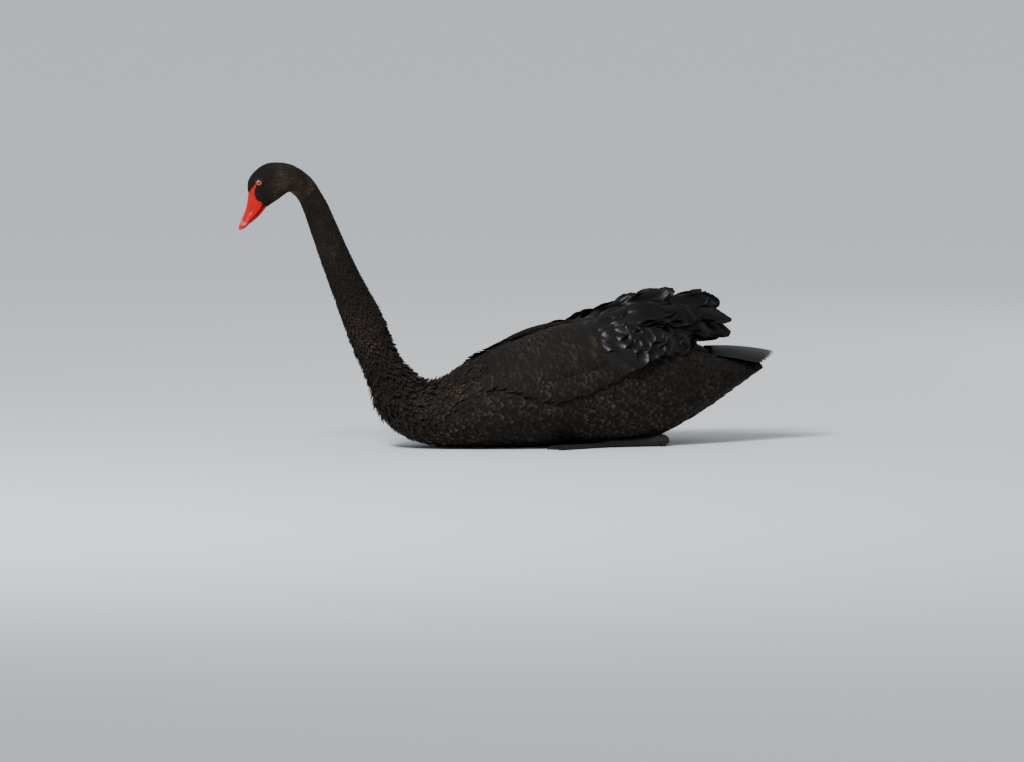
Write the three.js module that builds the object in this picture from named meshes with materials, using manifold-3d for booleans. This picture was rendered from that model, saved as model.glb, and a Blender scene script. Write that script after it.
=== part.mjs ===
// Black swan at rest on its belly, neck raised, life size
// Millimetres, +Z up; the head points to -X and the left side of the bird is -Y
// The origin is on the floor, under the middle of the belly

import * as THREE from 'three';
import { LoftGeometry } from 'three/addons/geometries/LoftGeometry.js';
import { mergeVertices } from 'three/addons/utils/BufferGeometryUtils.js';
import Module from 'manifold-3d';

const wasm = await Module();
wasm.setup();

// Clearance between neighbouring pieces, and a little more where a faceted skin is crossed
const GAP = 0.3;
const SKIN_CLEARANCE = 0.35;
const MIDDLE_CLEARANCE = 0.4;

// Tolerance that clears slivers after a cut
const SLIVER = 0.08;

// Stations of the skin from the bill to the tail, each with its point on the back,
// its point on the throat or belly, its half width and where down it is widest
const SKIN_STATIONS = [
  { at: 'bill base', back: [-533, 426], belly: [-509, 400], half: 15.5, waist: 0.5 },
  { at: 'brow', back: [-535, 437], belly: [-501, 404], half: 19, waist: 0.5 },
  { at: 'eye', back: [-532, 451], belly: [-492, 410], half: 22, waist: 0.5 },
  { at: 'forehead', back: [-520, 465], belly: [-482, 416], half: 23.5, waist: 0.5 },
  { at: 'crown', back: [-503, 475], belly: [-474, 422], half: 23.5, waist: 0.5 },
  { at: 'hind crown', back: [-481, 477], belly: [-467, 426], half: 22, waist: 0.5 },
  { at: 'nape', back: [-460, 473], belly: [-462, 426], half: 20.5, waist: 0.5 },
  { at: 'first bend', back: [-440, 462], belly: [-457, 422], half: 19.5, waist: 0.5 },
  { at: 'neck top', back: [-423, 447], belly: [-451, 416], half: 19, waist: 0.5 },
  { at: 'neck bend', back: [-410, 427], belly: [-445, 406], half: 19, waist: 0.5 },
  { at: 'neck 1', back: [-397, 405], belly: [-438, 389], half: 20, waist: 0.5 },
  { at: 'neck 2', back: [-379, 366], belly: [-426, 354], half: 22, waist: 0.5 },
  { at: 'neck 3', back: [-357, 318], belly: [-408, 304], half: 24.5, waist: 0.5 },
  { at: 'neck 4', back: [-333, 272], belly: [-391, 258], half: 27.5, waist: 0.5 },
  { at: 'neck 5', back: [-307, 226], belly: [-372, 207], half: 30, waist: 0.5 },
  { at: 'neck 6', back: [-290, 182], belly: [-354, 164], half: 32, waist: 0.5 },
  { at: 'neck 7', back: [-270, 144], belly: [-338, 128], half: 35, waist: 0.5 },
  { at: 'neck foot', back: [-247, 122], belly: [-325, 98], half: 40, waist: 0.5 },
  { at: 'dip', back: [-227, 110], belly: [-312, 60], half: 50, waist: 0.5 },
  { at: 'breast', back: [-197, 116], belly: [-275, 22], half: 68, waist: 0.5 },
  { at: 'breast foot', back: [-165, 134], belly: [-220, 1], half: 88, waist: 0.52 },
  { at: 'shoulder', back: [-120, 158], belly: [-158, -6], half: 108, waist: 0.54 },
  { at: 'fore back', back: [-69, 179], belly: [-86, -9], half: 122, waist: 0.55 },
  { at: 'mid back', back: [-17, 192], belly: [-17, -9], half: 129, waist: 0.55 },
  { at: 'hind back', back: [52, 202], belly: [52, -8], half: 131, waist: 0.55 },
  { at: 'hip', back: [120, 200], belly: [112, -5], half: 124, waist: 0.55 },
  { at: 'rump', back: [180, 184], belly: [172, 13], half: 108, waist: 0.55 },
  { at: 'vent', back: [240, 158], belly: [237, 47], half: 84, waist: 0.55 },
  { at: 'tail root', back: [290, 146], belly: [288, 79], half: 60, waist: 0.5 },
  { at: 'tail coverts', back: [326, 136], belly: [321, 102], half: 42, waist: 0.5 },
  { at: 'skin end', back: [345, 130], belly: [338, 114], half: 28, waist: 0.5 },
];
const SKIN_POWER = 2.2;

// Cuts between the named lengths, in station numbers
const HEAD_END = 8;
const NECK_UPPER_END = 11;
const NECK_MIDDLE_END = 14.4;
const NECK_END = 18.3;
const SKIN_END = SKIN_STATIONS.length - 1;

// Upper bill from its root to its nail
const UPPER_BILL_STATIONS = [
  { at: 'root in the head', back: [-531, 430], belly: [-508, 407], half: 15.6, waist: 0.8 },
  { at: 'base', back: [-533.5, 426], belly: [-512.5, 403], half: 15.5, waist: 0.8 },
  { at: 'saddle', back: [-535, 414], belly: [-515.5, 398], half: 15, waist: 0.82 },
  { at: 'nostril', back: [-537.5, 402], belly: [-522.5, 391], half: 13.5, waist: 0.84 },
  { at: 'middle', back: [-541.5, 391], belly: [-530, 384], half: 12.8, waist: 0.84 },
  { at: 'fore bill', back: [-545.5, 381], belly: [-538, 376.5], half: 12.8, waist: 0.8 },
  { at: 'nail', back: [-549, 373], belly: [-544, 370.5], half: 10.5, waist: 0.7 },
  { at: 'nail tip', back: [-549.8, 366], belly: [-547.4, 365.5], half: 6, waist: 0.5 },
];

// Lower bill from its root to its tip
const LOWER_BILL_STATIONS = [
  { at: 'root in the head', back: [-508, 405.5], belly: [-504, 402], half: 13, waist: 0.3 },
  { at: 'base', back: [-512, 401.4], belly: [-508, 397.6], half: 13, waist: 0.3 },
  { at: 'fore base', back: [-521.8, 390], belly: [-518, 386], half: 12, waist: 0.3 },
  { at: 'middle', back: [-529.6, 382.6], belly: [-526.6, 379], half: 11, waist: 0.3 },
  { at: 'fore part', back: [-537.4, 375.2], belly: [-535, 372.2], half: 10, waist: 0.3 },
  { at: 'tip', back: [-544.4, 368.6], belly: [-543, 366], half: 7, waist: 0.4 },
];

// Eye and its lids
const EYE_X = -522;
const EYE_Z = 445;
const EYE_RADIUS = 6.5;
const EYE_DEPTH = 4.4;
const LID_RING = 5.2;
const LID_ROLL = 1.3;

// Nostrils, one on each side of the upper bill
const NOSTRIL = { x: -531, z: 397.5, y: 12.6, length: 5, height: 1.6, depth: 2.2 };

// Folded wing, laid on the skin between two stations; its upper and lower edges
// are angles round the body, at even steps from the shoulder to the rear
const WING_FRONT = 20.9;
const WING_REAR = 27;
const WING_UPPER_EDGE = [0.34, 0.17, 0.08, 0.06, 0.06, 0.06];
const WING_LOWER_EDGE = [1.02, 1.24, 1.2, 1.03, 0.72, 0.4];
const WING_SWELL = 14;
const WING_EDGE = 1;
const WING_SINK = 8;
const WING_FULL_AT = 0.34;

// Feathers of the wing in tiers that overlap like tiles, from the shoulder to the rear;
// the heights are those of a quill over the wing's surface at even steps to its tip
const QUILL_HEIGHTS = [-2.2, 1.2, 3, 3.6];
const ODD_LIFT = 1.2;
const TIER_STAGGER = 0.03;
const TIER_SLOPE = 0.05;
const TIER_SPREAD = 0.04;
const MEDIAN_COVERTS = { count: 4, root: 0.26, length: 0.24, half: 21, from: 0.22, to: 0.84 };
const GREATER_COVERTS = { count: 5, root: 0.42, length: 0.26, half: 20, from: 0.16, to: 0.88 };
const SECONDARIES = { count: 6, root: 0.6, length: 0.42, half: 17, from: 0.1, to: 0.92 };

// Primaries, crossed low over the rump, by the place of each tip
const PRIMARY_HALF = 10;
const PRIMARIES = [
  { root: 0.72, across: 0.85, tip: [204, 58, 164] },
  { root: 0.76, across: 0.68, tip: [218, 44, 168] },
  { root: 0.78, across: 0.5, tip: [228, 30, 170] },
  { root: 0.8, across: 0.34, tip: [234, 17, 171] },
];

// Tertials, the broad curled plumes over the rump, by root on the wing and place of tip;
// rise is how far each arches above a straight line and turnOut how far it faces the side
const TERTIAL_HALF = 19;
const TERTIAL_SINK = 3;
const TERTIALS = [
  { root: 0.36, across: 0.22, tip: [121, 14, 240], rise: -14, turnOut: 1.2 },
  { root: 0.42, across: 0.46, tip: [132, 66, 221], rise: 3, turnOut: 1.8 },
  { root: 0.45, across: 0.2, tip: [157, 18, 243], rise: -8, turnOut: 1.2 },
  { root: 0.5, across: 0.34, tip: [184, 30, 251], rise: -4, turnOut: 1.6 },
  { root: 0.5, across: 0.52, tip: [186, 63, 222], rise: 8, turnOut: 2.2 },
  { root: 0.56, across: 0.2, tip: [254, 24, 247], rise: -5, turnOut: 1.2 },
  { root: 0.58, across: 0.44, tip: [224, 60, 212], rise: 12, turnOut: 2.4 },
  { root: 0.6, across: 0.24, tip: [271, 32, 233], rise: 8, turnOut: 1.8 },
  { root: 0.63, across: 0.38, tip: [279, 44, 208], rise: 12, turnOut: 2.4 },
  { root: 0.66, across: 0.32, tip: [282, 48, 184], rise: 10, turnOut: 2.8 },
  { root: 0.7, across: 0.6, tip: [236, 60, 180], rise: 7, turnOut: 2.6 },
];

// The right wing's plumes lie a little lower than the left wing's
const RIGHT_DROP = 5;

// A reaching quill bows by a sine and a share of its double, and turns from the wing's
// facing to its own within the first part of its length
const BOW_SHARES = [0, 0.33, 0.68, 0.88, 1];
const BOW_SKEW = 0.28;
const BOW_LEAN = 0.35;
const TURN_WITHIN = 0.62;

// Thickness of a vane at its root and at its tip, and the drop of its edges
const VANE_ROOT_THICK = 2;
const VANE_TIP_THICK = 0.8;
const VANE_DROP = 0.14;

// Tail fan of overlapping feathers on a root pad
const TAIL_FEATHERS = 11;
const TAIL_ROOT_X = 266;
const TAIL_TIP_X = 365;
const TAIL_ROOT_Z = 157;
const TAIL_TIP_Z = 147;
const TAIL_ROOT_HALF = 26;
const TAIL_TIP_HALF = 50;
const TAIL_VANE_HALF = 11;
const TAIL_CROWN = 7;
const TAIL_TIP_FALL = 1.6;
const TAIL_ROUNDING = 22;
const TAIL_STEP = 0.9;
const TAIL_BOW = 2.5;

// Root pad of the tail, at distances behind the feather roots
const TAIL_PAD = [
  { behind: -10, top: -7, foot: 132, half: 22 },
  { behind: 14, top: -3, foot: 126, half: 33 },
  { behind: 40, top: -6, foot: 124, half: 40 },
  { behind: 62, top: -12, foot: 130, half: 38 },
];

// Legs lie along the floor with the hock behind and the toes forward
const HOCK = { x: 150, y: 86, z: 10, radius: 10 };
const ANKLE = { x: 60, y: 88, z: 7, radius: 6.6 };
const SHANK_LEAN = 118;
const SHANK = [{ x: -4, z: 0, radius: 8 }, { x: 22, z: 0, radius: 11 }, { x: 60, z: 0, radius: 15 }];
const TOE_LENGTHS = [92, 112, 105];
const TOE_SPREAD = 14;
const FOOT_TURN = 8;
const TOE_RADIUS = 4;
const CLAW_RADIUS = 1;
const WEB_THICK = 2.4;
const WEB_HOLLOW = 12;

const PLUMAGE = new THREE.MeshStandardMaterial({ color: 0x1b1816, roughness: 0.8, metalness: 0 });
const NECK_DOWN = new THREE.MeshStandardMaterial({ color: 0x171412, roughness: 0.92, metalness: 0 });
const WING_BLACK = new THREE.MeshStandardMaterial({ color: 0x141211, roughness: 0.6, metalness: 0 });
const BILL_RED = new THREE.MeshStandardMaterial({ color: 0xc8202a, roughness: 0.35, metalness: 0 });
const IRIS = new THREE.MeshStandardMaterial({ color: 0xd9603c, roughness: 0.15, metalness: 0 });
const LEG_GREY = new THREE.MeshStandardMaterial({ color: 0x262424, roughness: 0.6, metalness: 0 });

// A closed solid of a geometry whose corners are merged
function solidOf(geometry) {
  const plain = new THREE.BufferGeometry();
  plain.setAttribute('position', geometry.attributes.position);
  plain.setIndex(geometry.index);
  const merged = mergeVertices(plain, 1e-4);
  return new wasm.Manifold(new wasm.Mesh({
    numProp: 3,
    vertProperties: new Float32Array(merged.attributes.position.array),
    triVerts: new Uint32Array(merged.index.array),
  }));
}

// The largest closed body of a solid, cleared of slivers
function wholeOf(solid) {
  const bodies = solid.simplify(SLIVER).decompose();
  bodies.sort((one, other) => other.volume() - one.volume());
  return bodies[0];
}

// The mesh of a node from its solid
function meshOf(name, solid, material) {
  const { vertProperties, triVerts } = wholeOf(solid).getMesh();
  const geometry = new THREE.BufferGeometry();
  geometry.setAttribute('position', new THREE.BufferAttribute(new Float32Array(vertProperties), 3));
  geometry.setIndex(new THREE.BufferAttribute(new Uint32Array(triVerts), 1));
  geometry.computeVertexNormals();
  const mesh = new THREE.Mesh(geometry, material);
  mesh.name = name;
  return mesh;
}

// The join of several solids
function joined(solids) {
  return solids.reduce((sum, solid) => sum.add(solid));
}

// A smooth form carried through stations, each ring a rounded oval in the plane
// of its back point, its belly point and the side axis
class Form {
  constructor(stations, power) {
    const line = (key, extra) => new THREE.CatmullRomCurve3(
      stations.map(s => new THREE.Vector3(s[key][0], s[extra], s[key][1])), false, 'catmullrom', 0.5);
    this.backLine = line('back', 'half');
    this.bellyLine = line('belly', 'waist');
    this.last = stations.length - 1;
    this.power = power;
    this.turn = 1;
    const ahead = this.bellyLine.getPoint(1 / this.last).sub(this.bellyLine.getPoint(0));
    this.turn = Math.sign(this.facing(0).dot(ahead));
  }

  // A point at a station number and an angle, 0 on the back and pi on the belly
  point(u, angle) {
    const t = THREE.MathUtils.clamp(u / this.last, 0, 1);
    const back = this.backLine.getPoint(t);
    const belly = this.bellyLine.getPoint(t);
    const half = back.y;
    const waist = belly.y;
    const middle = new THREE.Vector3().lerpVectors(back, belly, waist);
    const rounded = value => Math.sign(value) * Math.abs(value) ** (2 / this.power);
    const rise = rounded(Math.cos(angle));
    const reach = rise >= 0 ? back : belly;
    const place = new THREE.Vector3().lerpVectors(middle, reach, Math.abs(rise));
    place.y = -half * rounded(Math.sin(angle));
    place.z = Math.max(place.z, 0);
    return place;
  }

  // The outward direction at a point
  normal(u, angle) {
    const step = 0.02;
    const low = Math.max(u - step, 0);
    const high = Math.min(u + step, this.last);
    const along = this.point(high, angle).sub(this.point(low, angle));
    const around = this.point(u, angle + step).sub(this.point(u, angle - step));
    return around.cross(along).multiplyScalar(this.turn).normalize();
  }

  // The direction in which a ring's plane faces, towards the last station
  facing(u) {
    const t = u / this.last;
    const drop = this.bellyLine.getPoint(t).sub(this.backLine.getPoint(t));
    return new THREE.Vector3(-drop.z, 0, drop.x).multiplyScalar(this.turn).normalize();
  }

  // A ring of points, swollen outwards and shifted along its facing
  ring(u, sides, swell = 0, shift = 0) {
    const move = this.facing(u).multiplyScalar(shift);
    return Array.from({ length: sides }, (_, k) => {
      const angle = 2 * Math.PI * k / sides;
      return this.point(u, angle).addScaledVector(this.normal(u, angle), swell).add(move);
    });
  }

  // The closed solid between two stations
  solid(from, to, rows, sides, { swell = 0, startShift = 0, endShift = 0 } = {}) {
    const sections = Array.from({ length: rows + 1 }, (_, i) => {
      const shift = i === 0 ? startShift : i === rows ? endShift : 0;
      const ring = this.ring(from + (to - from) * i / rows, sides, swell, shift);
      return this.turn > 0 ? ring : ring.reverse();
    });
    return solidOf(new LoftGeometry(sections, { capStart: true, capEnd: true }));
  }
}

const skin = new Form(SKIN_STATIONS, SKIN_POWER);

// Head and neck

const HEAD_SIDES = 18;
const NECK_SIDES = 18;
const BODY_SIDES = 28;
const HALF_GAP = GAP / 2;

const headBlock = skin.solid(0, HEAD_END, 16, HEAD_SIDES, { endShift: -HALF_GAP });
const neckUpper = skin.solid(HEAD_END, NECK_UPPER_END, 6, NECK_SIDES,
  { startShift: HALF_GAP, endShift: -HALF_GAP });
const neckMiddle = skin.solid(NECK_UPPER_END, NECK_MIDDLE_END, 6, NECK_SIDES,
  { startShift: HALF_GAP, endShift: -HALF_GAP });
const neckLower = skin.solid(NECK_MIDDLE_END, NECK_END, 9, NECK_SIDES,
  { startShift: HALF_GAP, endShift: -HALF_GAP });

// The place on the side of the head that a height and a length name
function cheekPoint(x, z, side) {
  let best = null;
  for (let u = 1; u < 5; u += 0.05) {
    for (let angle = 0.6; angle < 2.4; angle += 0.05) {
      const place = skin.point(u, angle * side);
      const miss = Math.hypot(place.x - x, place.z - z);
      if (best === null || miss < best.miss) best = { miss, u, angle: angle * side, place };
    }
  }
  return best;
}

// Eye ball, its socket and its lids on one side, where 1 is the left
function eyeSolids(side) {
  const cheek = cheekPoint(EYE_X, EYE_Z, side);
  const out = skin.normal(cheek.u, cheek.angle);
  const centre = cheek.place.clone().addScaledVector(out, -EYE_DEPTH);
  const ball = radius => {
    const geometry = new THREE.SphereGeometry(radius, 14, 8);
    geometry.rotateX(Math.PI / 2);
    geometry.translate(centre.x, centre.y, centre.z);
    return solidOf(geometry);
  };
  const lids = new THREE.TorusGeometry(LID_RING, LID_ROLL, 5, 12);
  lids.applyQuaternion(new THREE.Quaternion().setFromUnitVectors(new THREE.Vector3(0, 0, 1), out));
  lids.translate(cheek.place.x, cheek.place.y, cheek.place.z);
  return { eye: ball(EYE_RADIUS), socket: ball(EYE_RADIUS + GAP), lids: solidOf(lids) };
}

const leftEye = eyeSolids(1);
const rightEye = eyeSolids(-1);
const head = headBlock
  .add(leftEye.lids)
  .add(rightEye.lids)
  .subtract(leftEye.socket)
  .subtract(rightEye.socket);

// Bill, its two halves parted along the mouth and trimmed at the front of the head

const BILL_SIDES = 14;
const BILL_POWER = 2.1;
const upperForm = new Form(UPPER_BILL_STATIONS, BILL_POWER);
const lowerForm = new Form(LOWER_BILL_STATIONS, BILL_POWER);

// The part of a bill solid that lies in front of the head
function beforeHead(solid) {
  const out = skin.facing(0).negate();
  const front = skin.point(0, 0).dot(out) + GAP;
  return solid.trimByPlane([out.x, out.y, out.z], front);
}

// A nostril as a shallow slot along the side of the bill
function nostril(side) {
  const geometry = new THREE.SphereGeometry(1, 10, 6);
  geometry.scale(NOSTRIL.height, NOSTRIL.depth, NOSTRIL.length);
  geometry.rotateY(THREE.MathUtils.degToRad(28));
  geometry.translate(NOSTRIL.x, -side * NOSTRIL.y, NOSTRIL.z);
  return solidOf(geometry);
}

const billUpper = beforeHead(upperForm.solid(0, UPPER_BILL_STATIONS.length - 1, 16, BILL_SIDES))
  .subtract(nostril(1))
  .subtract(nostril(-1));
const billLower = beforeHead(lowerForm.solid(0, LOWER_BILL_STATIONS.length - 1, 12, BILL_SIDES))
  .subtract(upperForm.solid(0, UPPER_BILL_STATIONS.length - 1, 16, BILL_SIDES, { swell: GAP }));

// Torso

const TORSO_ROWS = 22;
const torso = skin.solid(NECK_END, SKIN_END, TORSO_ROWS, BODY_SIDES, { startShift: HALF_GAP });
const torsoRoom = skin.solid(NECK_END, SKIN_END, TORSO_ROWS, BODY_SIDES,
  { swell: SKIN_CLEARANCE, startShift: HALF_GAP, endShift: GAP });

// A closed shell between two grids of points with the same rows and columns
function shellSolid(outer, inner) {
  const rows = outer.length;
  const columns = outer[0].length;
  const positions = [...outer, ...inner].flat().flatMap(p => [p.x, p.y, p.z]);
  const at = (layer, i, j) => layer * rows * columns + i * columns + j;
  const indices = [];
  const quad = (a, b, c, d) => indices.push(a, b, c, a, c, d);
  for (let i = 0; i < rows - 1; i += 1) {
    for (let j = 0; j < columns - 1; j += 1) {
      quad(at(0, i, j), at(0, i, j + 1), at(0, i + 1, j + 1), at(0, i + 1, j));
      indices.push(at(1, i, j), at(1, i + 1, j + 1), at(1, i, j + 1));
      indices.push(at(1, i, j), at(1, i + 1, j), at(1, i + 1, j + 1));
    }
  }
  for (let i = 0; i < rows - 1; i += 1) {
    quad(at(0, i, 0), at(0, i + 1, 0), at(1, i + 1, 0), at(1, i, 0));
    quad(at(0, i + 1, columns - 1), at(0, i, columns - 1), at(1, i, columns - 1), at(1, i + 1, columns - 1));
  }
  for (let j = 0; j < columns - 1; j += 1) {
    quad(at(0, 0, j + 1), at(0, 0, j), at(1, 0, j), at(1, 0, j + 1));
    quad(at(0, rows - 1, j), at(0, rows - 1, j + 1), at(1, rows - 1, j + 1), at(1, rows - 1, j));
  }
  const geometry = new THREE.BufferGeometry();
  geometry.setAttribute('position', new THREE.BufferAttribute(new Float32Array(positions), 3));
  geometry.setIndex(indices);
  return solidOf(geometry);
}

// Folded wing

const WING_ROWS = 9;
const WING_COLUMNS = 6;
const TIER_STEPS = 2;
const PRIMARY_STEPS = 2;
const TERTIAL_STEPS = 4;

// A smooth curve through values at even steps, read at a share of its length
function edgeCurve(values) {
  const curve = new THREE.CatmullRomCurve3(
    values.map(value => new THREE.Vector3(value, 0, 0)), false, 'catmullrom', 0.5);
  return share => curve.getPoint(THREE.MathUtils.clamp(share, 0, 1)).x;
}

const upperEdge = edgeCurve(WING_UPPER_EDGE);
const lowerEdge = edgeCurve(WING_LOWER_EDGE);

// A point over the skin under the wing: along from shoulder to rear, across from the
// spine to the lower edge, and the height over the skin
function wingPlace(side, along, across, height) {
  const u = WING_FRONT + (WING_REAR - WING_FRONT) * along;
  const angle = side * THREE.MathUtils.lerp(upperEdge(along), lowerEdge(along), across);
  return skin.point(u, angle).addScaledVector(skin.normal(u, angle), height);
}

// Height of the wing's own surface over the skin, a low dome that thins to its edges
function wingHeight(along, across) {
  const inside = THREE.MathUtils.clamp(across, 0, 1);
  const front = THREE.MathUtils.smoothstep(along, 0, WING_FULL_AT);
  const rear = Math.sin(Math.PI * (0.5 + 0.46 * THREE.MathUtils.clamp(along, 0, 1))) ** 0.6;
  const dome = Math.sin(Math.PI * inside) ** 0.6 * front * rear;
  return WING_EDGE + (WING_SWELL - WING_EDGE) * dome;
}

// The body of the folded wing, laid on the skin from near the spine to its lower edge
function wingPad(side) {
  const grid = outside => Array.from({ length: WING_ROWS + 1 }, (_, i) => {
    const along = i / WING_ROWS;
    return Array.from({ length: WING_COLUMNS + 1 }, (__, j) => {
      const across = j / WING_COLUMNS;
      const height = outside ? wingHeight(along, across) : -WING_SINK;
      return wingPlace(side, along, across, height);
    });
  });
  return side > 0 ? shellSolid(grid(true), grid(false)) : shellSolid(grid(false), grid(true));
}

// Half width of a vane along its length, as a share: narrow root, full middle, round tip
function vaneOutline(t) {
  const swell = THREE.MathUtils.lerp(0.5, 1, Math.min(1, t / 0.4));
  const tip = Math.sqrt(Math.max(0.12, 1 - Math.max(0, (t - 0.6) / 0.42) ** 2.4));
  return swell * tip;
}

// A feather as a thin roof-shaped vane along its quill, both faces split alike
function vane(quillPoints, facing, half, steps) {
  const quill = new THREE.CatmullRomCurve3(quillPoints);
  const rows = Array.from({ length: steps + 1 }, (_, i) => {
    const t = i / steps;
    const centre = quill.getPoint(t);
    const along = quill.getTangent(t);
    const up = facing(t).clone().projectOnPlane(along).normalize();
    const across = new THREE.Vector3().crossVectors(along, up);
    const reach = half * vaneOutline(t);
    const thick = THREE.MathUtils.lerp(VANE_ROOT_THICK, VANE_TIP_THICK, t) / 2;
    const corner = (share, layer) => centre.clone()
      .addScaledVector(across, share * reach)
      .addScaledVector(up, layer * thick - Math.abs(share) * reach * VANE_DROP);
    return [corner(-1, 1), corner(0, 1), corner(1, 1), corner(-1, -1), corner(0, -1), corner(1, -1)];
  });
  const at = (i, layer, k) => i * 6 + layer * 3 + k;
  const indices = [];
  const quad = (a, b, c, d) => indices.push(a, b, c, a, c, d);
  for (let i = 0; i < steps; i += 1) {
    for (let k = 0; k < 2; k += 1) {
      quad(at(i, 0, k), at(i, 0, k + 1), at(i + 1, 0, k + 1), at(i + 1, 0, k));
      indices.push(at(i, 1, k), at(i + 1, 1, k + 1), at(i, 1, k + 1));
      indices.push(at(i, 1, k), at(i + 1, 1, k), at(i + 1, 1, k + 1));
    }
    quad(at(i, 0, 0), at(i + 1, 0, 0), at(i + 1, 1, 0), at(i, 1, 0));
    quad(at(i + 1, 0, 2), at(i, 0, 2), at(i, 1, 2), at(i + 1, 1, 2));
  }
  for (let k = 0; k < 2; k += 1) {
    quad(at(0, 0, k + 1), at(0, 0, k), at(0, 1, k), at(0, 1, k + 1));
    quad(at(steps, 0, k), at(steps, 0, k + 1), at(steps, 1, k + 1), at(steps, 1, k));
  }
  const geometry = new THREE.BufferGeometry();
  geometry.setAttribute('position',
    new THREE.BufferAttribute(new Float32Array(rows.flat().flatMap(p => [p.x, p.y, p.z])), 3));
  geometry.setIndex(indices);
  return solidOf(geometry);
}

// The outward direction of the wing at a place
function wingFacing(side, along, across) {
  const u = WING_FRONT + (WING_REAR - WING_FRONT) * THREE.MathUtils.clamp(along, 0, 1);
  const angle = side * THREE.MathUtils.lerp(upperEdge(along), lowerEdge(along), across);
  return skin.normal(u, angle);
}

// One tier of feathers laid along the wing, each lower one a little further back
function tier(side, { count, root, length, half, from, to }) {
  return Array.from({ length: count }, (_, k) => {
    const share = k / (count - 1);
    const across = THREE.MathUtils.lerp(from, to, share);
    const start = root + TIER_STAGGER * Math.sin(2.4 * k) - TIER_SLOPE * share;
    const lift = ODD_LIFT * (k % 2);
    const quill = QUILL_HEIGHTS.map((height, n) => {
      const along = start + length * n / (QUILL_HEIGHTS.length - 1);
      const spread = across + (across - 0.5) * TIER_SPREAD * n;
      return wingPlace(side, along, spread, wingHeight(along, spread) + height + lift);
    });
    return vane(quill, t => wingFacing(side, start + length * t, across), half, TIER_STEPS);
  });
}

// A feather from a root on the wing to a tip at a named place
function reaching(side, { root, across, tip, rise = 0, turnOut = 0 }, half, steps) {
  const start = wingPlace(side, root, across, wingHeight(root, across) - TERTIAL_SINK);
  const drop = side < 0 ? RIGHT_DROP : 0;
  const end = new THREE.Vector3(tip[0], -side * tip[1], tip[2] - drop);
  const lean = wingFacing(side, root, across);
  const above = new THREE.Vector3(0, -side * BOW_LEAN, 1).normalize();
  const outside = new THREE.Vector3(0, -side * turnOut, 1).normalize();
  const quill = BOW_SHARES.map(share => {
    const bow = Math.sin(Math.PI * share) - BOW_SKEW * Math.sin(2 * Math.PI * share);
    return start.clone().lerp(end, share).addScaledVector(above, rise * bow);
  });
  return vane(quill, t => lean.clone().lerp(outside, Math.min(1, t / TURN_WITHIN)), half, steps);
}

function wing(side) {
  const tiers = [MEDIAN_COVERTS, GREATER_COVERTS, SECONDARIES].flatMap(spec => tier(side, spec));
  const primaries = PRIMARIES.map(spec => reaching(side, spec, PRIMARY_HALF, PRIMARY_STEPS));
  const tertials = TERTIALS.map(spec => reaching(side, spec, TERTIAL_HALF, TERTIAL_STEPS));
  return joined([wingPad(side), ...tiers, ...primaries, ...tertials]);
}

// Tail, a fan of vanes that overlap from the middle outwards, on one root pad

function tail() {
  const pad = new Form(TAIL_PAD.map(({ behind, top, foot, half }) => ({
    back: [TAIL_ROOT_X + behind, TAIL_ROOT_Z + top], belly: [TAIL_ROOT_X + behind, foot], half, waist: 0.3,
  })), 2).solid(0, TAIL_PAD.length - 1, 5, 12);
  const feathers = Array.from({ length: TAIL_FEATHERS }, (_, k) => {
    const share = 2 * k / (TAIL_FEATHERS - 1) - 1;
    const fall = TAIL_CROWN * share ** 2;
    const step = TAIL_STEP * (k % 2);
    const tipX = TAIL_TIP_X - TAIL_ROUNDING * share ** 2;
    const root = new THREE.Vector3(TAIL_ROOT_X, TAIL_ROOT_HALF * share, TAIL_ROOT_Z - fall - step);
    const tip = new THREE.Vector3(tipX, TAIL_TIP_HALF * share, TAIL_TIP_Z - TAIL_TIP_FALL * fall - step);
    const middle = root.clone().lerp(tip, 0.5).add(new THREE.Vector3(0, 2 * share, TAIL_BOW));
    const up = new THREE.Vector3(0, 0.25 * share, 1);
    return vane([root, middle, tip], () => up, TAIL_VANE_HALF, TIER_STEPS);
  });
  return joined([pad, ...feathers]);
}

const wingLeft = wing(1).subtract(torsoRoom).trimByPlane([0, -1, 0], MIDDLE_CLEARANCE);
const wingRight = wing(-1).subtract(torsoRoom).trimByPlane([0, 1, 0], MIDDLE_CLEARANCE);

// Legs and webbed feet

const LIMB_SIDES = 12;
const TOE_SIDES = 8;

// A round limb through points, each with a radius
function limb(points, sides) {
  const form = new Form(points.map(p => ({
    back: [p.x, p.z + p.radius], belly: [p.x, p.z - p.radius], half: p.radius, waist: 0.5,
  })), 2);
  return form.solid(0, points.length - 1, (points.length - 1) * 2, sides);
}

function leg(side) {
  const tarsus = limb([
    { x: HOCK.x + 12, z: HOCK.z, radius: 4 },
    { x: HOCK.x + 6, z: HOCK.z, radius: 9 },
    { x: HOCK.x - 6, z: HOCK.z, radius: HOCK.radius },
    { x: HOCK.x - 24, z: 8, radius: 7 },
    { x: ANKLE.x + 14, z: ANKLE.z, radius: 6 },
    { x: ANKLE.x, z: ANKLE.z, radius: ANKLE.radius },
  ], LIMB_SIDES).translate([0, -side * HOCK.y, 0]);
  const shank = limb(SHANK, LIMB_SIDES)
    .rotate([0, SHANK_LEAN, 0])
    .translate([HOCK.x + 2, -side * HOCK.y, HOCK.z + 2]);
  return tarsus.add(shank).trimByPlane([0, 0, 1], 0).subtract(torsoRoom);
}

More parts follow.
